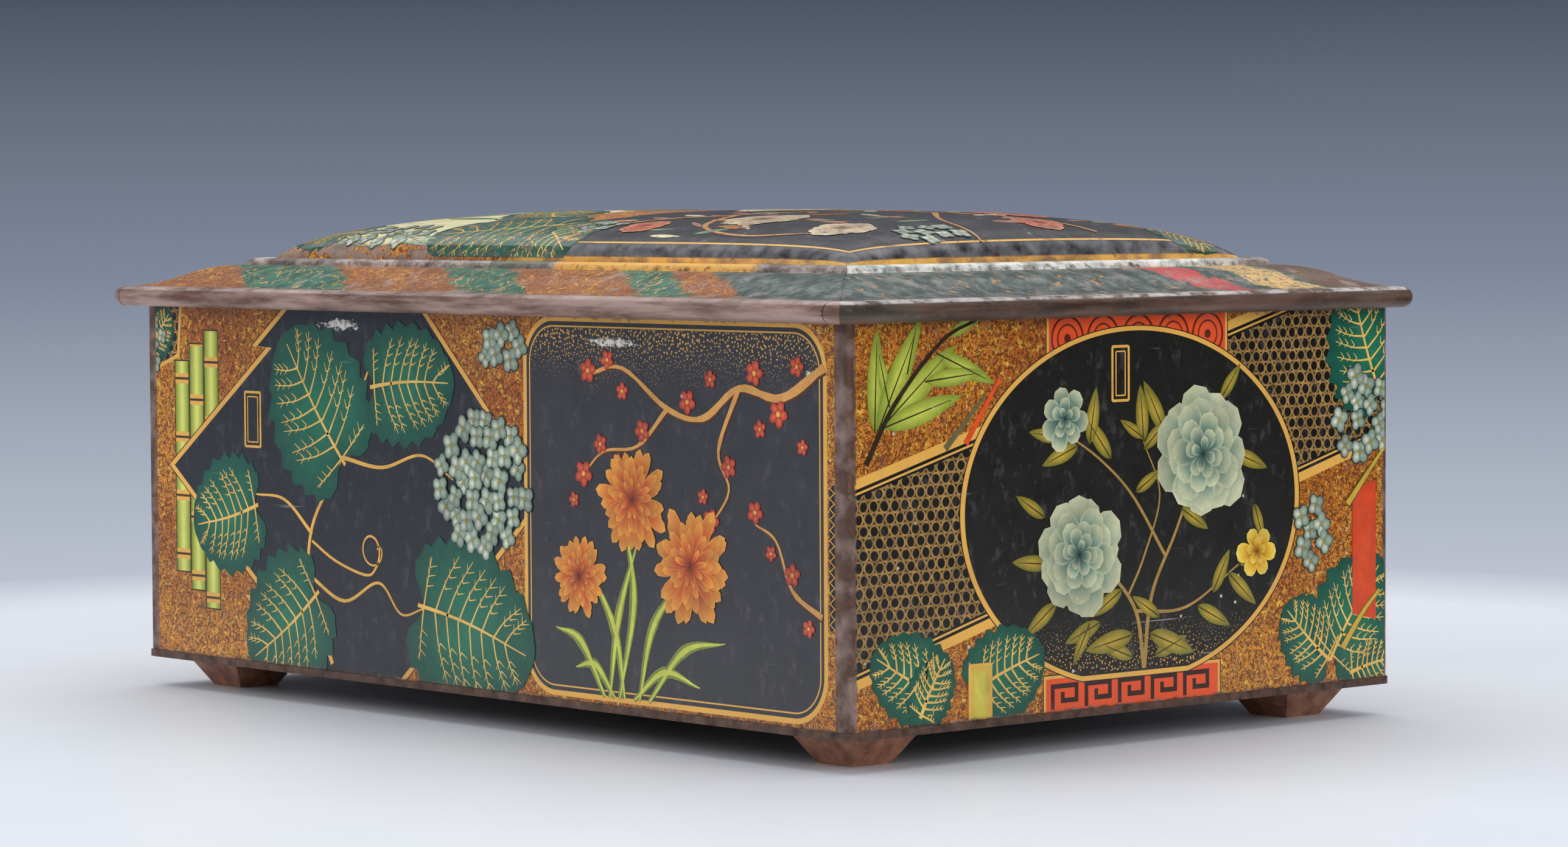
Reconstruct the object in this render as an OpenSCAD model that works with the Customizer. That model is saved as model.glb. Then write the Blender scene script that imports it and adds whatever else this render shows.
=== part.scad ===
// Domed tinplate box for deeds and papers.
// X runs along the long side, the front faces -Y, and Z = 0 is the surface that the feet stand on.
// The lid is closed. Its rolled rim gives the widest outline, so the lid is centred on X = Y = 0.

/* [Body] */
// Length of the body over its two end panels
body_l = 305; // [220:1:400]
// Depth of the body over its front and back panels
body_d = 200; // [150:1:280]
// Height of the four panels, from the body's lower edge to its mouth
wall_h = 104; // [70:1:150]
// Outer radius of the four upright corners
corner_r = 2; // [1.4:0.1:4]
// Thickness of the tinned sheet
sheet = 0.5; // [0.4:0.05:0.65]

/* [Corner seams] */
// Strip of each end panel that is folded round onto the front and back
seam_lap = 4.8; // [4.5:0.1:10]
// Width of the tongue joined behind the front and back panels, inboard of the fold
seam_tongue = 3; // [2:0.5:8]

/* [Base pan] */
// Height of the base pan's turned-up edge outside the walls
pan_edge_h = 1.5; // [1:0.5:6]

/* [Feet] */
// Side of each foot where it meets the base
foot_side = 24; // [20:0.5:36]
// Side of each foot on the table
foot_base = 13.2; // [9:0.1:18]
// Height of the feet
foot_h = 8.5; // [5:0.5:14]
// Distance of each foot from the outer face of the two nearest walls
foot_inset = 8; // [4:0.5:16]
// Thickness of a foot's pressed sheet
foot_sheet = 0.6; // [0.4:0.1:0.9]

/* [Mouth collar] */
// How far the collar reaches down inside the walls
collar_lap = 12; // [8:0.5:20]
// Clear height between the collar's top edge and the lowest underside of the lid's moulding
seat_gap = 0.3; // [0.3:0.05:0.6]

/* [Lid rim] */
// Overhang of the rolled rim in front of the front panel
over_front = 9; // [8:0.1:12]
// Overhang of the rolled rim beyond each end panel
over_side = 6.9; // [6.8:0.1:9]
// Distance that the rim hangs below the mouth's edge
rim_cover = 1; // [0.5:0.1:1.2]
// Diameter of the wire inside the rim
wire_d = 4.5; // [4:0.1:4.8]
// Inner radius of the rim's bend at each corner
rim_bend_r = 0.2; // [0.2:0.1:2]
// Slit that is left where the rolled edge meets the underside of the moulding
roll_slit = 0.4; // [0.3:0.1:0.8]
// Gap between a front or back roll's cut end and the corner roll beside it
roll_end_gap = 0.4; // [0.2:0.1:1]

/* [Lid moulding] */
// Width of the shallow S-shaped sweep, from the wire's centre to the foot of the step
sweep_w = 26; // [18:0.5:30]
// Rise of the sweep above the top of the rolled rim
sweep_rise = 6.2; // [4:0.2:9]
// Width of the rounded step above the sweep
step_w = 5; // [4:0.2:8]
// Rise of the rounded step
step_rise = 2; // [1.5:0.1:2.4]
// Open width of a mitre between two mouldings
mitre_gap = 0.1; // [0.05:0.05:0.3]

/* [Dome] */
// Rise of the dome above its flange
dome_rise = 16.3; // [8:0.1:30]
// Depth of the dome's flange below the step's foot
dome_sink = 1; // [0.6:0.1:2]
// Width of the flange under the step
flange_w = 4.5; // [2:0.5:5]
// Fullness of the dome along its length
dome_full_x = 4.7; // [2:0.1:6]
// Fullness of the dome along its depth
dome_full_y = 1.8; // [1.5:0.1:6]
// Roundness of the dome's shoulders, lower being rounder
dome_shoulder = 0.27; // [0.25:0.01:0.9]

/* [Hinge] */
// Width of each hinge strap
strap_w = 24; // [14:1:40]
// Length of a strap's leaf on the back panel, below the wire's centre
strap_leaf = 24; // [12:1:40]
// Distance of each strap's middle from the body's nearest end
strap_from_end = 57.5; // [30:0.5:90]
// Radial clearance between a strap's eye and the wire
pin_clear = 0.05; // [0.03:0.01:0.09]
// Side gap between a strap and the notch in the rolled rim
notch_gap = 0.5; // [0.4:0.1:1]
// Gap between the rolled rim and the collar along the back
hinge_gap = 0.45; // [0.35:0.05:1]

/* [Hidden] */

$fn = 48;
// Play between pieces that are slid together and soldered
fit = 0.05;
// Overlap that welds two parts of one sheet, and overshoot of a cut
weld = 0.1;
// Number of cells in the dome's surface along and across
dome_nx = 32;
dome_ny = 26;
// Number of chords in each arc of the moulding's section
arc_steps = 9;

// The rolled rim and where its wire lies
wire_r = wire_d / 2;
roll_r = wire_r + fit + sheet;
bend_r = roll_r + rim_bend_r;
over_back = 2 * roll_r - sheet - fit + hinge_gap;
rim_x = body_l / 2 + over_side - roll_r;
rim_y = (body_d + over_front + over_back) / 2 - roll_r;
rim_z = foot_h + wall_h - rim_cover + roll_r;

// The body's half sizes and its centre, which lies behind the lid's
half_l = body_l / 2;
half_d = body_d / 2;
body_y = (over_front - over_back) / 2;
floor_z = foot_h + sheet;
mouth_z = foot_h + wall_h;
collar_top = rim_z + roll_r - sheet - seat_gap;
collar_low = mouth_z - collar_lap;

// The moulding, measured inward and upward from the wire's centre; the sweep is two equal arcs
sweep_turn = 2 * atan(sweep_rise / sweep_w);
sweep_r = sweep_w / (2 * sin(sweep_turn));
step_x = sweep_w;
step_z = roll_r + sweep_rise;
step_r = (step_w * step_w / 4 + step_rise * step_rise) / (2 * step_rise);
dome_x = rim_x - step_x - step_w;
dome_y = rim_y - step_x - step_w;
flange_z = step_z - dome_sink;

// The hinge straps, their eye and the panel face behind the wire
strap_x = half_l - strap_from_end;
eye_r = wire_r + pin_clear;
leaf_in = over_back - roll_r;
leaf_top = -sqrt(max(0, eye_r * eye_r - pow(leaf_in - sheet, 2))) - 2 * weld;

// Block with rounded upright corners, centred in plan
module rounded_block(x, y, z, r) {
    translate([-x / 2 + r, -y / 2, 0]) cube([x - 2 * r, y, z]);
    translate([-x / 2, -y / 2 + r, 0]) cube([x, y - 2 * r, z]);
    for (sx = [-1, 1], sy = [-1, 1])
        translate([sx * (x / 2 - r), sy * (y / 2 - r), 0]) cylinder(r = r, h = z);
}

// Puts a piece made for the front or the right on the opposite side of the body
module opposite_front() {
    translate([0, body_y, 0]) rotate([0, 0, 180]) children();
}

module on_body() {
    translate([0, body_y, 0]) children();
}

// Front panel: a flat sheet whose two upright edges step inward behind the folded laps
module long_panel() {
    run = half_l - seam_lap;
    translate([-run, -half_d, floor_z]) cube([2 * run, sheet, mouth_z - floor_z]);
    for (s = [-1, 1])
        translate([s * (run - seam_tongue), -half_d + sheet, floor_z])
            mirror([s < 0 ? 1 : 0, 0, 0])
                cube([seam_tongue + seam_lap - corner_r, sheet, collar_low - fit - floor_z]);
}

// Right end panel: its edges turn round the corners and lap onto the front and back
module short_panel() {
    h = mouth_z - floor_z;
    side = half_d - corner_r;
    translate([half_l - sheet, -side, floor_z]) cube([sheet, 2 * side, h]);
    for (s = [-1, 1]) mirror([0, s > 0 ? 1 : 0, 0]) {
        translate([half_l - corner_r, -side, floor_z]) intersection() {
            difference() {
                cylinder(r = corner_r, h = h);
                translate([0, 0, -weld]) cylinder(r = corner_r - sheet, h = h + 2 * weld);
            }
            translate([0, -corner_r, 0]) cube([corner_r, corner_r, h]);
        }
        translate([half_l - seam_lap, -half_d, floor_z]) cube([seam_lap - corner_r, sheet, h]);
    }
}

// Base: a flat sheet with its edge turned up outside the walls
module pan() {
    grow = 2 * (fit + sheet);
    difference() {
        translate([0, 0, foot_h])
            rounded_block(body_l + grow, body_d + grow, sheet + pan_edge_h, corner_r + fit + sheet);
        translate([0, 0, floor_z])
            rounded_block(body_l + 2 * fit, body_d + 2 * fit, pan_edge_h + weld, corner_r + fit);
    }
}

// Upright strip inside the mouth, which closes the joint under the lid
module collar() {
    in = 2 * (sheet + fit);
    r = corner_r - sheet - fit;
    h = collar_top - collar_low;
    translate([0, 0, collar_low]) difference() {
        rounded_block(body_l - in, body_d - in, h, r);
        translate([0, 0, -weld])
            rounded_block(body_l - in - 2 * sheet, body_d - in - 2 * sheet, h + 2 * weld, r - sheet);
    }
}

module taper(low, high, h) {
    linear_extrude(height = h, scale = high / low) square(low, center = true);
}

// Pressed foot: an upturned hollow pyramid with its point cut off
module foot(sx, sy) {
    spread = (foot_side - foot_base) / foot_h;
    wall = 2 * foot_sheet * sqrt(1 + spread * spread / 4);
    from_wall = foot_inset + foot_side / 2;
    translate([sx * (half_l - from_wall), body_y + sy * (half_d - from_wall), 0]) difference() {
        taper(foot_base, foot_side, foot_h);
        translate([0, 0, foot_sheet])
            taper(foot_base - wall + spread * foot_sheet, foot_side - wall + spread * weld,
                foot_h - foot_sheet + weld);
    }
}

// Points of an arc about a centre, from one angle to another
function arc(cx, cy, r, from, to) =
    [for (i = [0:arc_steps]) let (t = from + (to - from) * i / arc_steps) [cx + r * cos(t), cy + r * sin(t)]];

// The same list without its first point, which the arc before it already has
function rest(points) = [for (i = [1:len(points) - 1]) points[i]];

// Moulding in section: X inward from the wire's centre, Y upward from it
module moulding_section() {
    step_y = step_z + step_rise - step_r;
    lean = asin((step_r - step_rise) / step_r);
    lean_in = asin((step_r - step_rise) / (step_r - sheet));
    mid = step_x + step_w / 2;
    end = step_x + step_w;
    low_y = roll_r + sweep_r;
    high_y = step_z - sweep_r;
    polygon(concat(
        arc(0, low_y, sweep_r, -90, sweep_turn - 90),
        rest(arc(step_x, high_y, sweep_r, 90 + sweep_turn, 90)),
        rest(arc(mid, step_y, step_r, 180 - lean, lean)),
        [[end, flange_z], [end - sheet, flange_z]],
        arc(mid, step_y, step_r - sheet, lean_in, 180 - lean_in),
        [[step_x + sheet, step_z - sheet]],
        arc(step_x, high_y, sweep_r - sheet, 90, 90 + sweep_turn),
        rest(arc(0, low_y, sweep_r + sheet, sweep_turn - 90, -90))));
}

// Rolled edge in section, open along a slit under the moulding
module roll_section() {
    difference() {
        circle(r = roll_r);
        circle(r = roll_r - sheet);
        translate([0, roll_r - sheet - roll_slit]) square([roll_r, roll_slit]);
    }
}

// Runs a section along one side of the lid, at a distance from the lid's centre
module along_side(from_centre, run) {
    translate([0, -from_centre, rim_z]) rotate([90, 0, 90])
        linear_extrude(height = run, center = true) children();
}

// One side of the lid's frame, made for the front: moulding with mitred ends, and rolled edge
module rim_side(from_centre, half_run, roll_run) {
    deep = step_x + step_w + weld;
    end = half_run - mitre_gap / sqrt(2);
    high = step_z + step_rise + weld;
    difference() {
        intersection() {
            along_side(from_centre, 2 * half_run) moulding_section();
            translate([0, 0, rim_z]) linear_extrude(height = high) polygon([
                [-end, -from_centre], [end, -from_centre],
                [end - deep, -from_centre + deep], [-end + deep, -from_centre + deep]]);
        }
        for (s = [-1, 1])
            translate([s * (half_run - bend_r), -from_centre + bend_r, rim_z]) difference() {
                translate([s > 0 ? 0 : -2 * bend_r, -2 * bend_r, 0])
                    cube([2 * bend_r, 2 * bend_r, high]);
                translate([0, 0, -weld]) cylinder(r = bend_r, h = high + 2 * weld);
            }
    }
    along_side(from_centre, roll_run) roll_section();
}

// Rolled edge bent round one corner, made for the front right
module corner_roll() {
    translate([rim_x - bend_r, -rim_y + bend_r, rim_z]) rotate([0, 0, -90])
        rotate_extrude(angle = 90) translate([bend_r, 0]) mirror([1, 0]) roll_section();
}

module long_rim() {
    rim_side(rim_y, rim_x, 2 * (rim_x - bend_r - roll_end_gap));
}

// The ends' rolled edges carry on round the corners
module short_rim() {
    rotate([0, 0, 90]) rim_side(rim_x, rim_y, 2 * (rim_y - bend_r));
    corner_roll();
    mirror([0, 1, 0]) corner_roll();
}

module notched_back_rim() {
    notch = strap_w + 2 * notch_gap;
    deep = 2 * roll_r + notch_gap + weld;
    difference() {
        rotate([0, 0, 180]) long_rim();
        for (s = [-1, 1])
            translate([s * strap_x - notch / 2, rim_y - roll_r - notch_gap, rim_z - roll_r - weld])
                cube([notch, deep, roll_r + step_z + weld]);
    }
}

// Surface of the dome as a share of its rise, over -1 to 1 in both directions
function dome_at(u, v) = abs(u) >= 1 || abs(v) >= 1 ? 0 :
    pow((1 - pow(abs(u), dome_full_x)) * (1 - pow(abs(v), dome_full_y)), dome_shoulder);

function dome_index(side, i, j) = (side * (dome_nx + 3) + i) * (dome_ny + 3) + j;

// Places across the dome as shares of its half width: the flange's edge, then cells that narrow
// towards the shoulders, then the other edge
function dome_cells(n, edge) = concat([-edge], [for (i = [0:n]) sin(180 * i / n - 90)], [edge]);

// Dome panel: one thin raised sheet whose flat flange lies under the step
module dome_panel() {
    edge_u = (dome_x + flange_w) / dome_x;
    edge_v = (dome_y + flange_w) / dome_y;
    top = [for (u = dome_cells(dome_nx, edge_u), v = dome_cells(dome_ny, edge_v))
        [dome_x * u, dome_y * v, dome_rise * dome_at(u, v)]];
    under = [for (u = dome_cells(dome_nx, edge_u), v = dome_cells(dome_ny, edge_v)) [
        abs(u) > 1 ? dome_x * u : (dome_x - sheet) * u,
        abs(v) > 1 ? dome_y * v : (dome_y - sheet) * v,
        dome_rise * dome_at(u, v) - sheet]];
    last_i = dome_nx + 2;
    last_j = dome_ny + 2;
    cells = [for (i = [0:last_i - 1], j = [0:last_j - 1]) [i, j]];
    rim = concat(
        [for (i = [0:last_i - 1]) [i, 0]],
        [for (j = [0:last_j - 1]) [last_i, j]],
        [for (i = [last_i:-1:1]) [i, last_j]],
        [for (j = [last_j:-1:1]) [0, j]]);
    translate([0, 0, rim_z + flange_z]) polyhedron(points = concat(top, under), faces = concat(
        [for (c = cells) [dome_index(0, c.x, c.y), dome_index(0, c.x, c.y + 1), dome_index(0, c.x + 1, c.y)]],
        [for (c = cells)
            [dome_index(0, c.x + 1, c.y + 1), dome_index(0, c.x + 1, c.y), dome_index(0, c.x, c.y + 1)]],
        [for (c = cells) [dome_index(1, c.x, c.y), dome_index(1, c.x + 1, c.y), dome_index(1, c.x, c.y + 1)]],
        [for (c = cells)
            [dome_index(1, c.x + 1, c.y + 1), dome_index(1, c.x, c.y + 1), dome_index(1, c.x + 1, c.y)]],
        [for (k = [0:len(rim) - 1]) let (a = rim[k], b = rim[(k + 1) % len(rim)])
            [dome_index(0, a.x, a.y), dome_index(0, b.x, b.y), dome_index(1, b.x, b.y), dome_index(1, a.x, a.y)]]));
}

// Wire inside the rim: four straight runs and four bends, cut at the middle of the back
module edge_wire() {
    run_x = rim_x - bend_r;
    run_y = rim_y - bend_r;
    difference() {
        union() {
            for (s = [-1, 1]) {
                translate([-run_x, s * rim_y, rim_z]) rotate([0, 90, 0]) cylinder(r = wire_r, h = 2 * run_x);
                translate([s * rim_x, run_y, rim_z]) rotate([90, 0, 0]) cylinder(r = wire_r, h = 2 * run_y);
                for (t = [-1, 1])
                    translate([s * run_x, t * run_y, rim_z]) mirror([s < 0 ? 1 : 0, 0, 0])
                        mirror([0, t < 0 ? 1 : 0, 0])
                            rotate_extrude(angle = 90) translate([bend_r, 0]) circle(r = wire_r);
            }
        }
        translate([-roll_end_gap / 2, rim_y - roll_r, rim_z - roll_r])
            cube([roll_end_gap, 2 * roll_r, 2 * roll_r]);
    }
}

// Hinge strap: a leaf on the back panel, rolled into an eye round the rim's wire
module strap(s) {
    translate([s * strap_x - strap_w / 2, rim_y, rim_z]) {
        difference() {
            rotate([0, 90, 0]) cylinder(r = eye_r + sheet, h = strap_w);
            translate([-weld, 0, 0]) rotate([0, 90, 0]) cylinder(r = eye_r, h = strap_w + 2 * weld);
        }
        translate([0, -leaf_in, -strap_leaf]) cube([strap_w, sheet, strap_leaf + leaf_top]);
    }
}

module front_wall() { color("#2b2a30") on_body() long_panel(); }
module back_wall() { color("#33302e") opposite_front() long_panel(); }
module left_end() { color("#8d5a22") opposite_front() short_panel(); }
module right_end() { color("#a8692a") on_body() short_panel(); }
module base_pan() { color("#6b5142") on_body() pan(); }
module mouth_collar() { color("#9a9488") on_body() collar(); }
module foot_front_left() { color("#4f3026") foot(-1, -1); }
module foot_front_right() { color("#4f3026") foot(1, -1); }
module foot_back_left() { color("#4f3026") foot(-1, 1); }
module foot_back_right() { color("#4f3026") foot(1, 1); }
module hinge_strap_left() { color("#8b8378") strap(-1); }
module hinge_strap_right() { color("#8b8378") strap(1); }
module lid_rim_front() { color("#8a6a3c") long_rim(); }
module lid_rim_back() { color("#7c6440") notched_back_rim(); }
module lid_rim_left() { color("#7d6a4e") rotate([0, 0, 180]) short_rim(); }
module lid_rim_right() { color("#6f6f66") short_rim(); }
module lid_dome() { color("#4c5a4a") dome_panel(); }
module rim_wire() { color("#7a756e") edge_wire(); }

front_wall();
back_wall();
left_end();
right_end();
base_pan();
mouth_collar();
foot_front_left();
foot_front_right();
foot_back_left();
foot_back_right();
hinge_strap_left();
hinge_strap_right();
lid_rim_front();
lid_rim_back();
lid_rim_left();
lid_rim_right();
lid_dome();
rim_wire();
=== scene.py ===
"""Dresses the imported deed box: printed and varnished tinplate, worn along its edges.

Sizes are in millimetres until a mesh is written. A face of the box has its own flat coordinates:
along it, up it and out of it. Printed shapes are drawn there, and then laid on the face.
"""

import math
import random

import bmesh
import bpy
import numpy as np
from mathutils import Matrix, Vector


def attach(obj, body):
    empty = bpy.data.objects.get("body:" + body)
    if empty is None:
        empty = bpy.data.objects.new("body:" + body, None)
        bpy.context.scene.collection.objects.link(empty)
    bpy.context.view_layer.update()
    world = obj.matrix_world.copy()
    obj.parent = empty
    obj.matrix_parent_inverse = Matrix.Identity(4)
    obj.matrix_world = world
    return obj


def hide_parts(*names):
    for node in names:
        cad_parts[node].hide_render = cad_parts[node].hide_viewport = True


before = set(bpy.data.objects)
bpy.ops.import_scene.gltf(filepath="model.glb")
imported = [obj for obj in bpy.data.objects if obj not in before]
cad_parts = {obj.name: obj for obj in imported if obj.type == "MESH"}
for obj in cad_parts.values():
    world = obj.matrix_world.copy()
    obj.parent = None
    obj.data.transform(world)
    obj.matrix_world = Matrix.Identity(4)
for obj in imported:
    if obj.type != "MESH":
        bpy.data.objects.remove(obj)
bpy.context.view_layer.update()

MM = 0.001

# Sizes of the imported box
HALF_L = 152.5
FRONT_Y = -98.25
BACK_Y = 101.75
BODY_Y = (FRONT_Y + BACK_Y) / 2
HALF_W = (BACK_Y - FRONT_Y) / 2
WALL_H = 104.0
FOOT_H = 8.5
SEAM_LAP = 4.8
RIM_X = 156.6
RIM_Y = 104.45
RIM_Z = 114.3
ROLL_R = 2.8
SWEEP_W = 26.0
STEP_W = 5.0
SHEET = 0.5
DOME_X = 125.6
DOME_Y = 73.45
DOME_Z = 122.3
DOME_RISE = 16.3
DOME_FULL_X = 4.7
DOME_FULL_Y = 1.8
DOME_SHOULDER = 0.27
FLANGE_W = 4.5
PAN_EDGE = 2.0

# Printed area of a long side and of an end
LONG_PRINT_X = HALF_L - SEAM_LAP - 0.1
END_PRINT = (2.0, 2 * HALF_W - 2.0)
PRINT_LOW = PAN_EDGE + 0.1
PRINT_TOP = WALL_H - 0.8

# One printed layer above the next, and the step between shapes that share a layer
LAYER = 0.03
STEP_UP = 0.0015
STEPS_PER_LAYER = 18

# Height of a drawing over the dome, and the distance over which the dome's slope is taken
DOME_CLEAR = 0.04
SLOPE_STEP = 0.02


def lin(rgb):
    """A colour as it is seen, turned to the linear values that a mesh or a node holds."""
    return tuple(c / 12.92 if c <= 0.04045 else ((c + 0.055) / 1.055) ** 2.4 for c in rgb)


# Colours, as they are seen
GOLD_GROUND = (0.88, 0.57, 0.14)
GOLD_DEEP = (0.74, 0.40, 0.08)
GOLD_LIGHT = (0.96, 0.76, 0.28)
SQUIGGLE = (0.38, 0.17, 0.05)
GOLD_LINE = (0.92, 0.69, 0.30)
NAVY = (0.135, 0.135, 0.165)
INK_BLACK = (0.07, 0.065, 0.06)
MEDALLION = (0.105, 0.10, 0.085)
LEAF_GREEN = (0.10, 0.46, 0.34)
LEAF_DARK = (0.04, 0.31, 0.24)
PALE = (0.66, 0.72, 0.63)
PALE_LIGHT = (0.88, 0.89, 0.79)
PALE_DARK = (0.19, 0.28, 0.25)
CANE = (0.80, 0.82, 0.32)
CANE_DARK = (0.52, 0.58, 0.16)
VERMILION = (0.92, 0.32, 0.10)
BLOOM = (0.43, 0.55, 0.48)
BLOOM_EDGE = (0.88, 0.86, 0.68)
BLOOM_DEEP = (0.07, 0.17, 0.16)
OLIVE = (0.80, 0.66, 0.22)
OLIVE_DARK = (0.46, 0.44, 0.12)
RUST = (0.33, 0.21, 0.15)
MAUVE = (0.56, 0.47, 0.44)
TIN = (0.62, 0.60, 0.56)
CREAM = (0.86, 0.82, 0.62)
LEAF_VEIN = (0.93, 0.74, 0.36)
CANE_LIGHT = (0.93, 0.92, 0.55)
CANE_SHADE = (0.24, 0.16, 0.05)
RED_SHADE = (0.24, 0.05, 0.03)
SCRATCH = (0.62, 0.58, 0.52)
PATCH_WHITE = (0.93, 0.92, 0.89)
CHIP = (0.80, 0.77, 0.72)
HAZE = (0.52, 0.50, 0.50)


# Shader fields


def add_node(tree, kind, sockets=None, **settings):
    """New node with its settings made and its sockets filled."""
    node = tree.nodes.new(kind)
    for name, value in settings.items():
        setattr(node, name, value)
    for name, value in (sockets or {}).items():
        feed(tree, node.inputs[name], value)
    return node


def feed(tree, slot, value):
    """Puts a field, another node's output, a colour or a number into a node's socket."""
    if isinstance(value, Field):
        value = value.socket
    if isinstance(value, bpy.types.NodeSocket):
        tree.links.new(value, slot)
    elif slot.type == "RGBA" and len(value) == 3:
        slot.default_value = (*lin(value), 1.0)
    else:
        slot.default_value = value


class Field:
    """A value that varies over a surface. Arithmetic on it adds the nodes that work it out."""

    def __init__(self, tree, socket):
        self.tree = tree
        self.socket = socket

    def math(self, operation, *others, clamp=False):
        sockets = dict(enumerate((self, *others)))
        node = add_node(self.tree, "ShaderNodeMath", sockets, operation=operation, use_clamp=clamp)
        return Field(self.tree, node.outputs[0])

    def __add__(self, other):
        return self.math("ADD", other)

    __radd__ = __add__

    def __sub__(self, other):
        return self.math("SUBTRACT", other)

    def __rsub__(self, other):
        return self * -1 + other

    def __mul__(self, other):
        return self.math("MULTIPLY", other)

    __rmul__ = __mul__

    def __truediv__(self, other):
        return self.math("DIVIDE", other)

    def abs(self):
        return self.math("ABSOLUTE")

    def low(self, other):
        return self.math("MINIMUM", other)

    def high(self, other):
        return self.math("MAXIMUM", other)

    def repeat(self, length):
        """Distance from the middle of the nearest of many equal cells."""
        return self.math("PINGPONG", length / 2)

    def held(self):
        """Kept between 0 and 1."""
        return self.math("ADD", 0.0, clamp=True)

    def steep(self, gain, cut):
        """Times gain, less cut, and kept between 0 and 1, which turns soft noise into patches."""
        return (self * gain - cut).held()

    def inside(self, soft=0.12):
        """1 where this distance is below nothing, 0 where it is above, with a soft edge."""
        return (self * (-1 / soft) + 0.5).held()

    def line(self, width, soft=0.12):
        """1 within half a width of where this distance is nothing."""
        return (self.abs() - width / 2).inside(soft)


def blank_material(name):
    """New material without a shader, and its object coordinates in millimetres."""
    material = bpy.data.materials.new(name)
    material.use_nodes = True
    tree = material.node_tree
    tree.nodes.clear()
    metres = add_node(tree, "ShaderNodeTexCoord").outputs["Object"]
    scaled = add_node(tree, "ShaderNodeVectorMath", {0: metres, "Scale": 1 / MM}, operation="SCALE")
    return material, Field(tree, scaled.outputs[0])


def parts(place):
    """The three components of a place."""
    node = add_node(place.tree, "ShaderNodeSeparateXYZ", {0: place})
    return [Field(place.tree, out) for out in node.outputs]


def stretched(place, x, y, z):
    node = add_node(place.tree, "ShaderNodeVectorMath", {0: place, 1: (x, y, z)}, operation="MULTIPLY")
    return Field(place.tree, node.outputs[0])


def noise(place, size, detail=2.0, rough=0.5, twist=0.0):
    """Soft random values between 0 and 1, whose features are about size across."""
    sockets = {"Vector": place, "Scale": 1 / size, "Detail": detail, "Roughness": rough, "Distortion": twist}
    return Field(place.tree, add_node(place.tree, "ShaderNodeTexNoise", sockets).outputs["Fac"])


def cells(place, size, dimensions="3D"):
    """Distance from the nearest of many scattered points, and that point's own random colour."""
    node = add_node(place.tree, "ShaderNodeTexVoronoi", {"Vector": place, "Scale": 1 / size},
                    voronoi_dimensions=dimensions)
    return Field(place.tree, node.outputs["Distance"]) * size, Field(place.tree, node.outputs["Color"])


def over(base, colour, mask):
    """A colour laid over another where the mask is 1."""
    node = add_node(mask.tree, "ShaderNodeMix", {"Factor": mask, 6: base, 7: colour}, data_type="RGBA")
    return Field(mask.tree, node.outputs[2])


def shaded(colour, factor):
    """A colour made lighter or darker by a varying factor."""
    sockets = {"Factor": 1, 6: colour, 7: factor}
    node = add_node(factor.tree, "ShaderNodeMix", sockets, data_type="RGBA", blend_type="MULTIPLY")
    return Field(factor.tree, node.outputs[2])


def slant_length(x, y):
    """Length of the slanting line that goes x along and y up."""
    return (x * x + y * y).math("SQRT")


def beyond(u, v, through, slope, side):
    """Distance above (side 1) or below (side -1) a sloping line through a point."""
    return ((v - through[1]) - (u - through[0]) * slope) * (side / math.hypot(1, slope))


def gold_ground(place):
    """Gold ground closely covered with short dark squiggles and flecks."""
    tone = noise(place, 30, 3)
    base = over(GOLD_GROUND, GOLD_DEEP, tone.steep(3.4, 1.3))
    light = noise(place, 1.9, 1)
    base = over(base, GOLD_LIGHT, light.steep(7, 3.9) * 0.8)
    curls = noise(place, 1.5, 1.0, 0.5, 1.8)
    squiggles = (curls - 0.5).line(0.13, 0.06)
    dots = (noise(place, 1.2, 0) - 0.37).inside(0.06)
    return over(base, SQUIGGLE, squiggles.high(dots) * 0.88)


def white_patch(u, v, place, centre, half):
    """White patch over an oval about a centre, broken up by noise."""
    x = (u - centre[0]) / half[0]
    y = (v - centre[1]) / half[1]
    near = 1 - x * x - y * y
    grit = noise(stretched(place, 0.7, 0.7, 1.6), 1.6, 3, 0.7)
    return (near * 1.3 + grit * 4.5 - 3.0).held()


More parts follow.
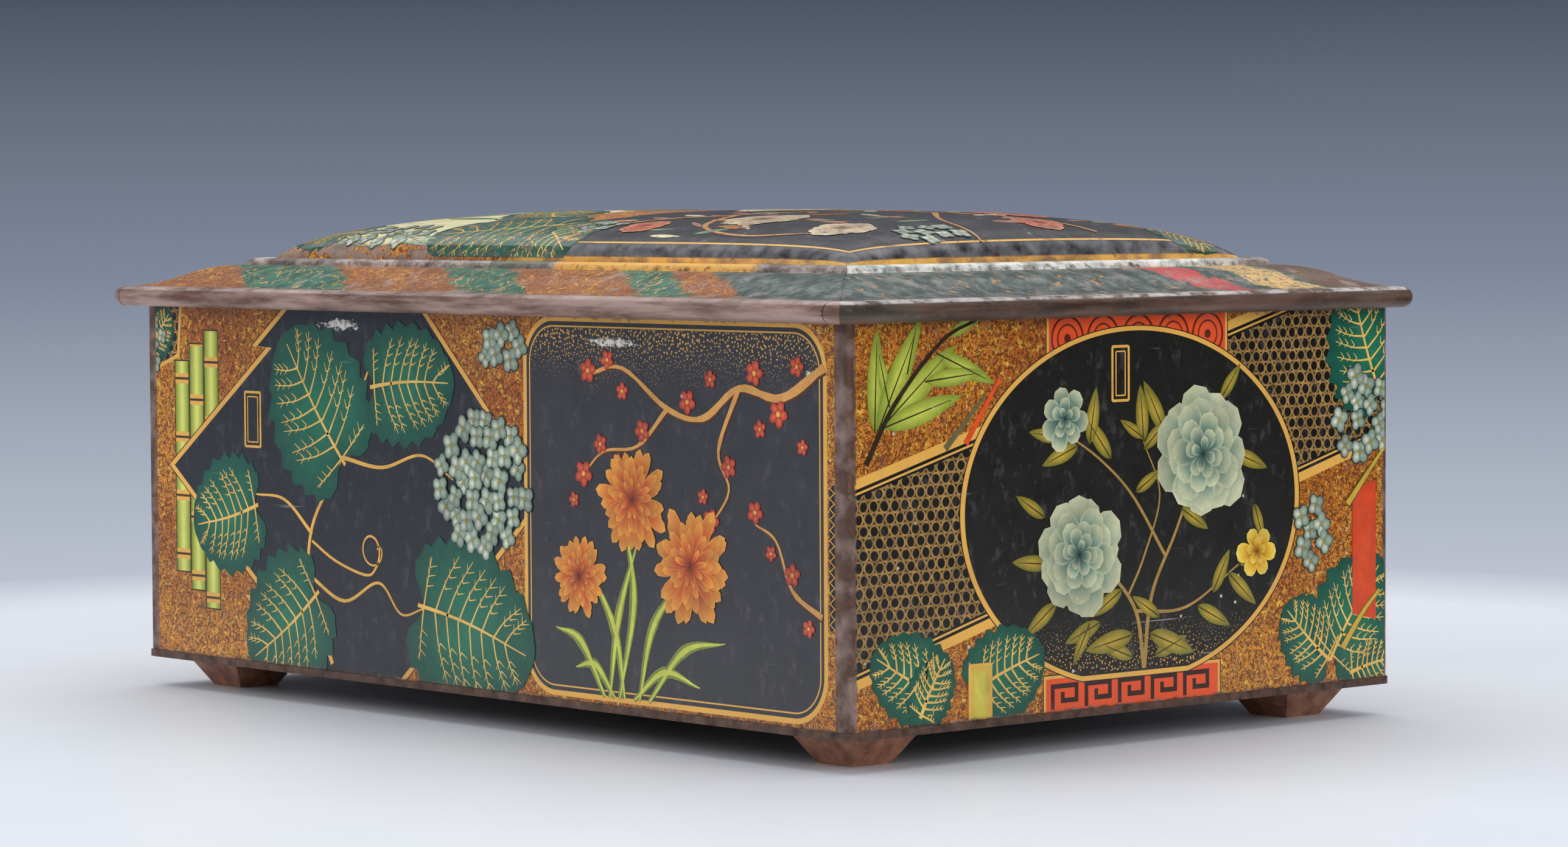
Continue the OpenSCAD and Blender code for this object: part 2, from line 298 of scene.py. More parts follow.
def finish_surface(material, colour, place, rub, gloss=0.30, metal=0.0, scratches=1.0, marks=None,
                   shine=0.5):
    """Varnished print with rubbed edges, chips, scratches and old dirt, ready to show."""
    dirt = noise(place, 42, 4, 0.6)
    colour = shaded(colour, dirt * 0.7 + 0.66)
    breakup = noise(place, 2.6, 4, 0.65)
    rubbed = (rub * 1.25 + breakup * 0.9 - 0.95).math("MULTIPLY", 6.0, clamp=True)
    metal_tone = over(RUST, MAUVE, noise(place, 5.5, 3).steep(4, 1.7))
    colour = over(colour, metal_tone, rubbed * 0.88)
    spot, pick = cells(place, 9.0)
    chip_size = (parts(pick)[0] * 4.2 - 3.3).high(0.0) * 0.62
    chips = (spot - chip_size).inside() * noise(place, 60, 2).steep(5, 2.0)
    if marks:
        chips = chips.high(marks)
    colour = over(colour, CHIP, chips * 0.85 * scratches)
    if marks:
        colour = over(colour, PATCH_WHITE, marks)
    haze = noise(stretched(place, 1, 1, 0.6), 3.2, 4, 0.7)
    colour = over(colour, HAZE, haze.steep(4, 2.2) * 0.16 * scratches)
    level = noise(stretched(place, 0.06, 0.06, 1.6), 2.0, 2, 0.6, 0.3)
    upright = noise(stretched(place, 1.4, 1.4, 0.07), 1.7, 2, 0.6, 0.4)
    lines = (level - 0.735).math("MULTIPLY", 14.0, clamp=True)
    lines = lines.high((upright - 0.755).math("MULTIPLY", 14.0, clamp=True))
    colour = over(colour, SCRATCH, lines * 0.5 * scratches)
    rough = (noise(place, 7, 3) * 0.22 + (gloss - 0.11)) + rubbed * 0.22 + lines * 0.15
    dents = noise(place, 26, 2) * 0.9 + noise(place, 3.0, 3) * 0.10 - rubbed * 0.06 - chips * 0.08
    bump = add_node(place.tree, "ShaderNodeBump", {"Strength": 0.35, "Distance": 0.0004, "Height": dents})
    shader = add_node(place.tree, "ShaderNodeBsdfPrincipled", {
        "Base Color": colour, "Roughness": rough, "Metallic": metal, "Specular IOR Level": shine,
        "Coat Weight": 0.0 if metal else 0.12, "Coat Roughness": 0.14, "Normal": bump.outputs[0]})
    add_node(place.tree, "ShaderNodeOutputMaterial", {0: shader.outputs[0]})
    return material


def lozenge_distance(u, v):
    """Distance outside the lozenge panel of the long sides, whose left edges have stepped notches."""
    left = (-139.4, 56.7)
    upper_notch = (92 - v).inside(0.3) * 4.4
    lower_notch = (v - 21).inside(0.3) * 6.3
    left_up = beyond(u, v, left, 0.716, 1) - upper_notch
    left_down = beyond(u, v, left, -0.753, -1) - lower_notch
    right_up = beyond(u, v, (12.9, 72.9), -0.945, 1)
    right_down = beyond(u, v, (13.8, 39.2), 0.853, -1)
    return left_up.high(left_down).high(right_up).high(right_down)


def round_rect_distance(u, v, centre, half, corner):
    """Distance outside a rectangle with rounded corners."""
    x = (u - centre[0]).abs() - (half[0] - corner)
    y = (v - centre[1]).abs() - (half[1] - corner)
    return slant_length(x.high(0.0), y.high(0.0)) + x.high(y).low(0.0) - corner


def canes(colour, u, v):
    """Upright canes with nodes, which stand behind the lozenge."""
    for middle, low, high, phase in ((-134.6, 26, 87, 3.0), (-127.2, 21, 92, 9.0), (-119.8, 16, 96, 15.0)):
        across = (u - middle).abs()
        cane = (across - 3.3).high(low - v).high(v - high)
        tone = over(CANE, CANE_DARK, (across * across * 0.11).held())
        tone = over(tone, CANE_LIGHT, (across - 0.8).inside(1.2) * 0.6)
        node = (v + phase).repeat(17.0)
        tone = over(tone, GOLD_LINE, (node - 1.5).inside(0.3))
        tone = over(tone, CANE_SHADE, (node - 0.35).inside(0.2))
        colour = over(colour, CANE_SHADE, (cane - 0.4).inside())
        colour = over(colour, tone, cane.inside())
    return colour


def gold_dots(colour, u, v, thick, share, area):
    """Scattered gold dots, biggest where thick is 1, inside an area."""
    node = add_node(u.tree, "ShaderNodeCombineXYZ", {0: u, 1: v})
    dot, _ = cells(Field(u.tree, node.outputs[0]), 1.15, "2D")
    return over(colour, GOLD_LINE, (dot - thick.high(0.0) * share).inside(0.1) * area * 0.85)


def long_panel_colour(u, v, place):
    """Print of a long side: gold ground, a dark lozenge and a dark panel with rounded corners."""
    colour = gold_ground(place)
    corner = (u + 137.5 - (v - 84) * 0.1).high(84.5 + (u + 150) * 0.35 - v)
    colour = over(colour, lattice(u, v, place), corner.inside())
    colour = over(colour, GOLD_LINE, (corner - 0.6).line(1.2))
    colour = canes(colour, u, v)
    diamond = lozenge_distance(u, v)
    colour = over(colour, NAVY, diamond.inside())
    colour = over(colour, GOLD_LINE, (diamond - 0.4).line(1.5))
    colour = over(colour, SQUIGGLE, (diamond - 1.35).line(0.35))
    panel = round_rect_distance(u, v, (84.9, 53.0), (59.6, 49.6), 12)
    ground = over((0.17, 0.17, 0.19), (0.225, 0.225, 0.24), noise(place, 14, 4, 0.7))
    colour = over(colour, ground, panel.inside())
    mist = (v - 84) / 18 + (noise(place, 12, 2) - 0.5) * 0.8
    colour = gold_dots(colour, u, v, mist, 0.34, (panel + 2.6).inside(0.6))
    colour = over(colour, GOLD_LINE, (panel + 0.2).line(1.4))
    colour = over(colour, GOLD_LINE, (panel + 2.2).line(0.4))
    return corner_strip(colour, u - 146.7, v)


def corner_strip(colour, across, v):
    """Narrow upright black strip with a gold zigzag."""
    strip = (across.abs() - 1.0).high((v - 45).abs() - 18)
    colour = over(colour, INK_BLACK, strip.inside())
    zig = (v.repeat(2.6).abs() * 1.3 - 0.85 - across).line(0.4)
    return over(colour, GOLD_LINE, strip.inside() * zig)


def lattice(u, v, place):
    """Gold net on black: rings round the points of two crossed grids, which together make hexagons."""
    pitch = 3.5
    drift = (noise(place, 9, 1) - 0.5) * 1.1
    u = u + drift
    v = v - drift
    nearest = None
    for shift_u, shift_v in ((0, 0), (pitch / 2, pitch * 0.866)):
        x = (u + shift_u).repeat(pitch)
        y = (v + shift_v).repeat(pitch * 1.732)
        distance = slant_length(x, y)
        nearest = distance if nearest is None else nearest.low(distance)
    ring = (nearest - pitch * 0.43).line(pitch * 0.15, 0.22)
    return over(INK_BLACK, (0.76, 0.58, 0.30), ring * noise(place, 1.3, 2).steep(1.6, 0.15))


def end_panel_colour(u, v, place):
    """Print of an end: gold ground, slanting lattice band, red panels and a dark oval medallion."""
    colour = gold_ground(place)
    band = beyond(u, v, (0, 12.3), 0.275, -1).high(beyond(u, v, (0, 63.3), 0.270, 1))
    colour = over(colour, GOLD_LINE, (band - 0.6).inside())
    colour = over(colour, INK_BLACK, (band + 1.9).inside())
    colour = over(colour, GOLD_LINE, (band + 3.0).line(0.55))
    colour = over(colour, lattice(u, v, place), (band + 3.9).inside())
    red_top = ((u - 102.2).abs() - 32.7).high(70 - v)
    red_low = ((u - 100.1).abs() - 31.9).high(v - 10.5)
    for red in (red_top, red_low):
        colour = over(colour, INK_BLACK, (red - 1.1).inside())
        colour = over(colour, GOLD_LINE, (red - 0.8).inside())
        colour = over(colour, VERMILION, red.inside())
    ring = slant_length((u - 102.2).repeat(13.0), v - 97.5)
    rings = (ring - 5.6).line(0.7, 0.25).high((ring - 3.5).line(0.5, 0.25)).high((ring - 1.2).inside(0.3))
    colour = over(colour, RED_SHADE, rings * red_top.inside() * (93.5 - v).inside(0.3) * 0.9)
    oval = (slant_length((u - 100.9) / 61.2, (v - 53.5) / 45.5) - 1) * 50
    oval = oval.high(10.4 - v)
    colour = over(colour, INK_BLACK, (oval - 1.6).inside())
    colour = over(colour, GOLD_LINE, (oval - 1.3).inside())
    colour = over(colour, MEDALLION, oval.inside())
    mist = (27 - v) / 22 + (noise(place, 10, 2) - 0.5) * 0.7
    return gold_dots(colour, u, v, mist, 0.36, (oval + 0.8).inside(0.6))


def near_edges(v, corner):
    """1 at the lower and upper edges of a wall and at its corners, falling within a few millimetres."""
    low = (v - PAN_EDGE - 1.0).inside(3.5)
    high = (WALL_H - 2.5 - v).inside(3.5)
    return (low * 0.66).high(high * 0.5).high(corner)


def bare_sheet(place):
    """Tinplate without print, dulled and browned."""
    return over(TIN, (0.42, 0.36, 0.28), noise(place, 18, 4).steep(3, 1.2))


def facing_down(tree):
    """1 where a surface of the lid faces down, which is its inner side."""
    normal = add_node(tree, "ShaderNodeTexCoord").outputs["Normal"]
    return (parts(Field(tree, normal))[2] - 0.01).inside(0.02)


def wall_material(name, is_end, far):
    """Print on one wall, with plain tinplate on its inner face.

    The far wall is the back one of the long sides, or the left one of the ends.
    """
    material, place = blank_material(name)
    x, y, z = parts(place)
    v = z - FOOT_H
    skin = SHEET / 2
    marks = None
    if is_end:
        face = x * (-1 if far else 1)
        across = (y - BODY_Y).abs()
        u = (BACK_Y - y) if far else (y - FRONT_Y)
        colour = end_panel_colour(u, v, place)
        worn = noise(stretched(place, 1, 1, 0.25), 3.2, 4).steep(3, 1.0)
        brown = over((0.24, 0.15, 0.11), (0.46, 0.37, 0.33), worn)
        lap_edge = (HALF_L - 3.2 - face).inside(0.4)
        folded = over(gold_ground(place), brown, lap_edge.high(worn * 0.3))
        colour = over(colour, folded, (face - (HALF_L - 0.6)).inside(0.5))
        bend = (HALF_L + HALF_W - 2.1 - across - face).inside(0.1)
        colour = over(colour, brown, bend * (HALF_L - 0.2 - face).inside(0.1))
        corner = (HALF_W - 2.8 - (u - HALF_W).abs()).inside(3.0) * 0.9
        outer = (HALF_W - skin - across).inside(0.1).high((HALF_L - skin - face).inside(0.1)).high(bend)
    else:
        u = x * (-1 if far else 1)
        colour = long_panel_colour(u, v, place)
        # White patches over set ovals near the top of the wall.
        marks = white_patch(u, v, place, (-57, 99.0), (13, 2.2))
        marks = marks.high(white_patch(u, v, place, (62, 96.5), (13, 1.7)))
        marks = marks.high(white_patch(u, v, place, (139, 90), (2.5, 2.0)) * 0.7)
        corner = (HALF_L - SEAM_LAP - 0.3 - u.abs()).inside(1.2) * 0.6
        outer = (HALF_W - skin - (y - BODY_Y) * (1 if far else -1)).inside(0.1)
        marks = marks * outer
    colour = over(bare_sheet(place), colour, outer)
    return finish_surface(material, colour, place, near_edges(v, corner) * outer, scratches=1.7, marks=marks)


def ink_material():
    """Printed shapes, whose colour each point of the mesh holds."""
    material, place = blank_material("printed_ink")
    ink = add_node(place.tree, "ShaderNodeVertexColor", layer_name="ink")
    grain = noise(place, 1.6, 3)
    broad = noise(place, 9, 3, 0.6)
    colour = shaded(Field(place.tree, ink.outputs[0]), grain * 0.35 + broad * 0.7 + 0.47)
    z = parts(place)[2]
    walls = (RIM_Z - 1.3 - z).held()
    lid = (DOME_Z - 3.3 - z).inside(0.5)
    return finish_surface(material, colour, place, (near_edges(z - FOOT_H, 0.0) * walls).high(lid * 0.41))


def dome_material():
    """Print of the dome: pale on the left, dark on the right, gold lines round its foot, and a band of worn
    tin with a painted highlight at its very foot.
    """
    material, place = blank_material("dome_print")
    x, y, z = parts(place)
    from_edge = ((DOME_X - x.abs()) * 0.8).low((DOME_Y - y.abs()) * 0.8)
    foot = (z - DOME_Z) + from_edge
    sway = (noise(place, 22, 3) - 0.5) * 22
    worn = noise(stretched(place, 0.5, 0.5, 1), 6, 4, 0.65)
    dull = over((0.34, 0.36, 0.33), (0.60, 0.49, 0.44), noise(place, 8, 3).steep(6, 2.6))
    colour = over(gold_ground(place), dull, worn.steep(6, 2.6) * (x + 40).inside(20))
    pale = (x + 30 + sway).high(9.5 - foot + sway * 0.25).inside(1.5)
    grain = noise(stretched(place, 0.3, 1, 1), 6, 4, 0.6)
    paper = over(CREAM, (0.50, 0.61, 0.46), grain.steep(6, 3.2))
    stain = noise(stretched(place, 0.4, 1, 1), 4, 3).steep(8, 4.8)
    paper = over(paper, (0.62, 0.42, 0.24), stain * 0.8)
    colour = over(colour, paper, pale)
    dark = (sway * 0.5 - 4 - x).high(4.6 - foot).inside(0.8)
    cloud = noise(place, 11, 4, 0.65).steep(5, 2.5)
    slate = over((0.12, 0.12, 0.14), (0.27, 0.26, 0.27), cloud * 0.8)
    rub_through = noise(stretched(place, 0.4, 1, 1), 5, 4, 0.6).steep(9, 5.9)
    slate = over(slate, (0.78, 0.72, 0.62), rub_through * 0.8)
    shoulder = (foot - 10.5).inside(3.0) * noise(place, 5, 4).steep(3, 1.0)
    slate = over(slate, (0.46, 0.46, 0.47), shoulder)
    colour = over(colour, slate, dark)
    colour = over(colour, GOLD_LINE, (foot - 10.8).line(0.9) * dark * worn.steep(6, 1.6))
    low_line = over((0.93, 0.70, 0.32), (0.62, 0.46, 0.30), worn.steep(5, 2.2))
    colour = over(colour, low_line, (foot - 3.4).line(2.4, 0.5) * (1 - (x + 10).inside(8)))
    rubbed_foot = (foot - 7).inside(3.0) * (x + 30).inside(20)
    colour = over(colour, (0.63, 0.53, 0.48), rubbed_foot * worn.steep(7, 3.2) * 0.8)
    # Worn bare tin and painted highlight: a pale band along the dome's foot that widens the bright band of
    # the rounded step.
    tin = over((0.44, 0.40, 0.38), (0.80, 0.79, 0.76), worn.steep(5, 2.0))
    colour = over(colour, tin, (foot - 1.6).inside(0.8) * 0.9)
    inner = facing_down(place.tree)
    colour = over(colour, bare_sheet(place), inner)
    rub = ((foot - 4).inside(6) * 0.36).high((x + 10).inside(10) * -0.35 + 0.35) * (1 - inner)
    return finish_surface(material, colour, place, rub, gloss=0.50, scratches=1.8, shine=0.3)


def patches(along, *spans, soft=2.0):
    """1 within any of a few spans along a side."""
    found = None
    for start, end in spans:
        mask = ((along - (start + end) / 2).abs() - (end - start) / 2).inside(soft)
        found = mask if found is None else found.high(mask)
    return found


def end_rim_colour(place, grey, end_along):
    """Print of the lid's ends: grey with red, gold and brown stretches."""
    fine = noise(place, 1.6, 3, 0.6)
    flecks = noise(place, 3.5, 3, 0.6).steep(9, 5.4)
    colour = over(grey, (0.76, 0.52, 0.24), flecks)
    colour = over(colour, (0.74, 0.26, 0.24), patches(end_along, (28, 42)) * fine.steep(5, 1.2))
    colour = over(colour, (0.84, 0.68, 0.40), patches(end_along, (52, 70)) * fine.steep(5, 1.6))
    return over(colour, (0.42, 0.28, 0.18), patches(end_along, (74, 130)) * 0.85)


def bead_colour(place, ragged, wear, on_end):
    """Rounded step of the lid: dull metal, with print left on it here and there, and a painted highlight on
    the front part of each end.
    """
    x, y, _ = parts(place)
    tone = over((0.42, 0.36, 0.34), (0.72, 0.66, 0.62), wear.steep(5, 2.1))
    tone = over(tone, (0.30, 0.38, 0.34), patches(x + ragged, (-18, 12)) * 0.7)
    gold = patches(x + ragged * 0.6, (14, 94)) * (1 - on_end)
    tone = over(tone, (0.93, 0.70, 0.30), gold * wear.steep(5, 1.0))
    # Painted highlight: pale grey to near white over the rounded step of each end, from the front corner to
    # a little past the middle.
    painted_highlight = over((0.60, 0.63, 0.60), (0.93, 0.92, 0.88), wear.steep(5, 1.8))
    return over(tone, painted_highlight, on_end * (y - 62).inside(24))


def roll_colour(place, wear, on_end):
    """Rolled edge of the lid, worn to brown metal, and brightest along its top, where a highlight is
    painted.
    """
    z = parts(place)[2]
    streak = noise(stretched(place, 0.12, 0.12, 1.0), 3.0, 4, 0.6).steep(4, 1.5)
    colour = over((0.40, 0.27, 0.22), (0.66, 0.54, 0.50), streak)
    colour = over(colour, over((0.21, 0.15, 0.11), (0.38, 0.27, 0.21), streak), on_end * 0.95)
    tint = noise(stretched(place, 0.25, 0.25, 1), 9, 2).steep(6, 3.6)
    colour = over(colour, (0.34, 0.38, 0.33), tint * 0.4)
    # Painted highlight: a near white line along the top of the roll, broken up by the wear noise, strongest
    # on the ends.
    painted_top_highlight = (RIM_Z + ROLL_R * 0.72 - z).inside(0.3)
    return over(colour, (0.88, 0.86, 0.84), painted_top_highlight * wear.steep(6, 2.4) * (on_end * 0.4 + 0.2))


def rim_material():
    """Lid rim: printed sweep, rubbed rounded step, and a rolled edge worn to brown metal, with painted
    highlights on the ends' step and along the roll's top.
    """
    material, place = blank_material("rim_print")
    x, y, _ = parts(place)
    inward_x = RIM_X - x.abs()
    inward_y = RIM_Y - y.abs()
    inward = inward_x.low(inward_y)
    on_end = (inward_x - inward_y).inside(0.2)
    ragged = (noise(place, 6, 5, 0.65) - 0.5) * 26
    wear = noise(stretched(place, 0.45, 0.45, 1.0), 3.4, 4, 0.65)
    brown = noise(place, 5, 3).steep(5, 1.8)
    colour = over(gold_ground(place), (0.50, 0.26, 0.08), brown * 0.65)
    green = over(LEAF_DARK, (0.20, 0.44, 0.34), noise(place, 6, 3).steep(4, 1.5))
    vein = (noise(stretched(place, 1, 1, 0.3), 6, 2, 0.5, 1.0) - 0.5).line(0.022, 0.02)
    green = over(green, GOLD_LINE, vein * 0.7)
    along = x + (inward - 14) * 1.6 + ragged
    colour = over(colour, green, patches(along, (-116, -66), (-16, 13), (60, 80)))
    grey = over((0.17, 0.25, 0.22), (0.42, 0.45, 0.42), noise(place, 4, 4, 0.65).steep(4.4, 1.9))
    colour = over(colour, grey, patches(along, (99, 190)))
    end_along = y + (inward - 14) * 0.6 + ragged * 0.6
    colour = over(colour, end_rim_colour(place, grey, end_along), on_end)
    colour = over(colour, (0.60, 0.55, 0.51), wear.steep(7, 3.9) * 0.75)
    bead = ((inward - SWEEP_W - STEP_W / 2).abs() - STEP_W / 2 - 0.6).inside(0.8)
    colour = over(colour, bead_colour(place, ragged, wear, on_end), bead * 0.94)
    roll = (inward - 2.4).inside(0.8)
    bare = roll_colour(place, wear, on_end)
    colour = over(colour, bare, roll)
    under = facing_down(place.tree)
    colour = over(colour, bare, under * (inward - 2 * ROLL_R).inside(0.2))
    inner = under * (2 * ROLL_R - inward).inside(0.2)
    colour = over(colour, bare_sheet(place), inner)
    crest = ((inward - SWEEP_W).abs() - 2.0).inside(3.0)
    rub = (crest * 0.42).high((inward - 4.4).inside(2.5) * (1 - roll) * 0.55) * (1 - inner)
    return finish_surface(material, colour, place, rub, gloss=0.52, scratches=1.6, shine=0.3)


def metal_material(name, light, dark, gloss, metal):
    """Worn metal without print."""
    material, place = blank_material(name)
    tone = noise(place, 4.5, 5, 0.62).steep(3.2, 1.1)
    return finish_surface(material, over(dark, light, tone), place, 0.0, gloss, metal, 0.6)


# Faces of the box


# Each wall seen from above: where a drawing on it starts, which way it runs, and which way is out
WALLS = {
    "front": ((0, FRONT_Y), (1, 0), (0, -1)),
    "back": ((0, BACK_Y), (-1, 0), (0, 1)),
    "right": ((HALF_L, FRONT_Y), (0, 1), (1, 0)),
    "left": ((-HALF_L, BACK_Y), (0, -1), (-1, 0)),
}


def on_wall(side):
    """Function that lays the points of a drawing on one wall."""
    start, along, out = np.array(WALLS[side], float)
    return lambda p: np.column_stack([start + p[:, :1] * along + p[:, 2:] * out, FOOT_H + p[:, 1]])


def dome_height(x, y):
    u = np.clip(np.abs(x) / DOME_X, 0, 1)
    v = np.clip(np.abs(y) / DOME_Y, 0, 1)
    return DOME_RISE * ((1 - u**DOME_FULL_X) * (1 - v**DOME_FULL_Y)) ** DOME_SHOULDER


def dome_run(half, fullness):
    """Plan distances from the dome's middle, and the lengths over its surface that reach them."""
    share = np.sin(np.linspace(0, math.pi / 2, 400)) ** 0.5
    rise = DOME_RISE * (1 - share**fullness) ** DOME_SHOULDER
    step = np.hypot(np.diff(share * half), np.diff(rise))
    return share * half, np.concatenate([[0], np.cumsum(step)])


def on_dome(p):
    """Drawings on the dome are measured over its surface, so that they also go down its steep shoulders."""
    plan = []
    for values, half, fullness in ((p[:, 0], DOME_X, DOME_FULL_X), (p[:, 1], DOME_Y, DOME_FULL_Y)):
        reach, length = dome_run(half, fullness)
        plan.append(np.sign(values) * np.interp(np.abs(values), length, reach))
    x, y = plan
    out = p[:, 2] + DOME_CLEAR
    d = SLOPE_STEP
    slope_x = (dome_height(x + d, y) - dome_height(x - d, y)) / (2 * d)
    slope_y = (dome_height(x, y + d) - dome_height(x, y - d)) / (2 * d)
    size = np.sqrt(1 + slope_x**2 + slope_y**2)
    z = DOME_Z + dome_height(x, y) + out / size
    return np.stack([x - out * slope_x / size, y - out * slope_y / size, z], 1)


# Drawing on a face


class Print:
    """Inked shapes with a little thickness, drawn on a flat face."""

    def __init__(self):
        self.points = []
        self.inks = []
        self.faces = []
        self.count = 0

    def height(self, layer):
        """Height of the next shape on a layer, a little above the last one there."""
        self.count += 1
        return LAYER * layer + STEP_UP * (self.count % STEPS_PER_LAYER)

    def add(self, points, inks, faces):
        start = len(self.points)
        self.points.extend(points)
        self.inks.extend(inks)
        self.faces.extend([tuple(start + i for i in f) for f in faces])

    def blob(self, centre, outline, inner, outer, layer, rings=2):
        """Closed plate round a centre, whose colour runs from inner to outer."""
        inner, outer = lin(inner), lin(outer)
        n = len(outline)
        top = self.height(layer)
        points, inks, faces = [(*centre, top)], [inner], []
        for k in range(1, rings + 1):
            t = k / rings
            for p in outline:
                points.append((*between(centre, p, t), top))
                inks.append(between(inner, outer, t))
        edge = 1 + (rings - 1) * n
        under = 1 + rings * n
        points += [(p[0], p[1], -LAYER) for p in outline] + [(*centre, -LAYER)]
        inks += [outer] * (n + 1)
        for i in range(n):
            j = (i + 1) % n
            faces.append((0, 1 + i, 1 + j))
            for k in range(rings - 1):
                a, b = 1 + k * n, 1 + (k + 1) * n
                faces.append((a + i, b + i, b + j, a + j))
            faces.append((edge + i, under + i, under + j, edge + j))
            faces.append((under + n, under + j, under + i))
        self.add(points, inks, faces)

    def ribbon(self, path, widths, ink, layer):
        """Closed flat strip along a path."""
        path = [np.array(p, float) for p in path]
        ink = lin(ink)
        n = len(path)
        top = self.height(layer)
        if isinstance(widths, (int, float)):
            widths = [widths] * n
        points, inks, faces = [], [], []
        for i, p in enumerate(path):
            ahead = path[min(i + 1, n - 1)] - path[max(i - 1, 0)]
            ahead = ahead / (np.linalg.norm(ahead) or 1)
            side = np.array([-ahead[1], ahead[0]]) * widths[i] / 2
            for q, height in ((p + side, top), (p - side, top), (p - side, -LAYER), (p + side, -LAYER)):
                points.append((q[0], q[1], height))
                inks.append(ink)
        for i in range(n - 1):
            a, b = 4 * i, 4 * i + 4
            faces += [(a + k, a + (k + 1) % 4, b + (k + 1) % 4, b + k) for k in range(4)]
        end = 4 * (n - 1)
        faces += [(0, 3, 2, 1), (end, end + 1, end + 2, end + 3)]
        self.add(points, inks, faces)

    def mesh(self):
        """The flat drawing as a mesh that holds its colours."""
        mesh = bpy.data.meshes.new("drawing")
        mesh.from_pydata([tuple(p) for p in self.points], [], self.faces)
        ink = mesh.color_attributes.new("ink", "FLOAT_COLOR", "POINT")
        ink.data.foreach_set("color", np.array([(*c, 1) for c in self.inks], np.float32).ravel())
        return mesh

    def lay(self, name, faces, body, low, high, creases=()):
        """Makes one piece for each face of the box that carries this drawing, cut off at the face's edges.

        On a curved face the drawing is also split along its creases, so that it can bend there.
        """
        flat = self.mesh()
        cut_to(flat, low, high, creases)
        points = np.array([v.co for v in flat.vertices], float)
        for face_name, on_face in faces.items():
            mesh = flat.copy()
            mesh.vertices.foreach_set("co", (on_face(points) * MM).astype(np.float32).ravel())
            mesh.update()
            mesh.materials.append(INK)
            piece = add_object(f"{name}_{face_name}", mesh)
            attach(piece, body)
        bpy.data.meshes.remove(flat)


def add_object(name, data):
    """New object in the scene, whose data has the same name."""
    data.name = name
    made = bpy.data.objects.new(name, data)
    bpy.context.scene.collection.objects.link(made)
    return made


def between(a, b, t):
    """Values a share t of the way from a to b."""
    return tuple(p + (q - p) * t for p, q in zip(a, b))


def split(form, axis, at, way=1, clear=False):
    """Cuts a flat drawing across an axis and, if clear is set, takes off what lies beyond the cut."""
    place = [at if k == axis else 0 for k in range(3)]
    normal = [way if k == axis else 0 for k in range(3)]
    whole = form.verts[:] + form.edges[:] + form.faces[:]
    return bmesh.ops.bisect_plane(form, geom=whole, dist=1e-5, plane_co=place, plane_no=normal,
                                  clear_outer=clear)


def cut_to(mesh, low, high, creases):
    """Cuts a flat drawing off at its face's edges and closes the cuts."""
    form = bmesh.new()
    form.from_mesh(mesh)
    for axis, at in creases:
        split(form, axis, at)
    for axis in (0, 1):
        for way, at in ((-1, low[axis]), (1, high[axis])):
            cut = split(form, axis, at, way, clear=True)
            edges = [e for e in cut["geom_cut"] if isinstance(e, bmesh.types.BMEdge)]
            bmesh.ops.holes_fill(form, edges=edges, sides=0)
    form.to_mesh(mesh)
    form.free()


def turned(points, angle, at=(0, 0)):
    """Points turned about 0, 0 by an angle in degrees, and then moved."""
    c, s = math.cos(math.radians(angle)), math.sin(math.radians(angle))
    return [(at[0] + x * c - y * s, at[1] + x * s + y * c) for x, y in points]


def bent(points, steps=8):
    """Smooth path through a few points."""
    p = [np.array(q, float) for q in points]
    p = [2 * p[0] - p[1], *p, 2 * p[-1] - p[-2]]
    path = []
    for i in range(1, len(p) - 2):
        for k in range(steps):
            t = k / steps
            path.append(0.5 * (2 * p[i] + (p[i + 1] - p[i - 1]) * t
                               + (2 * p[i - 1] - 5 * p[i] + 4 * p[i + 1] - p[i + 2]) * t * t
                               + (3 * p[i] - p[i - 1] - 3 * p[i + 1] + p[i + 2]) * t**3))
    path.append(p[-2])
    return path


def taper(n, start, end, middle=None):
    """Widths along a strip, from start to end, by way of middle where it is given."""
    if middle is None:
        middle = (start + end) / 2
    return [float(w) for w in np.interp(np.linspace(0, 1, n), (0, 0.5, 1), (start, middle, end))]


def leaf_half(t):
    """Half width of a broad leaf of width 1, at a share t of its length."""
    reach = (t - 0.38) / (0.62 if t > 0.38 else 0.5)
    return 0.5 * max(0.0, 1 - reach * reach) ** (0.58 if t > 0.38 else 0.42)


def broad_leaf_outline(length, width, seed):
    """Heart-shaped leaf with a toothed edge. Its stalk meets it at 0, 0 and its tip lies along X."""
    rng = random.Random(seed)
    teeth = 22
    side = []
    for i in range(teeth + 1):
        turn = math.pi * i / teeth
        t = 0.38 + math.cos(turn) * (0.62 if turn < math.pi / 2 else 0.5)
        tooth = 1 + (0.10 if i % 2 else -0.04) + rng.uniform(-0.03, 0.03)
        notch = 0.20 * max(0.0, (turn - 2.6) / 0.54) ** 2
        side.append(((t + notch) * length, leaf_half(t) * width * tooth))
    return [*side[:-1], (0.07 * length, 0), *[(x, -y) for x, y in reversed(side[1:-1])]]


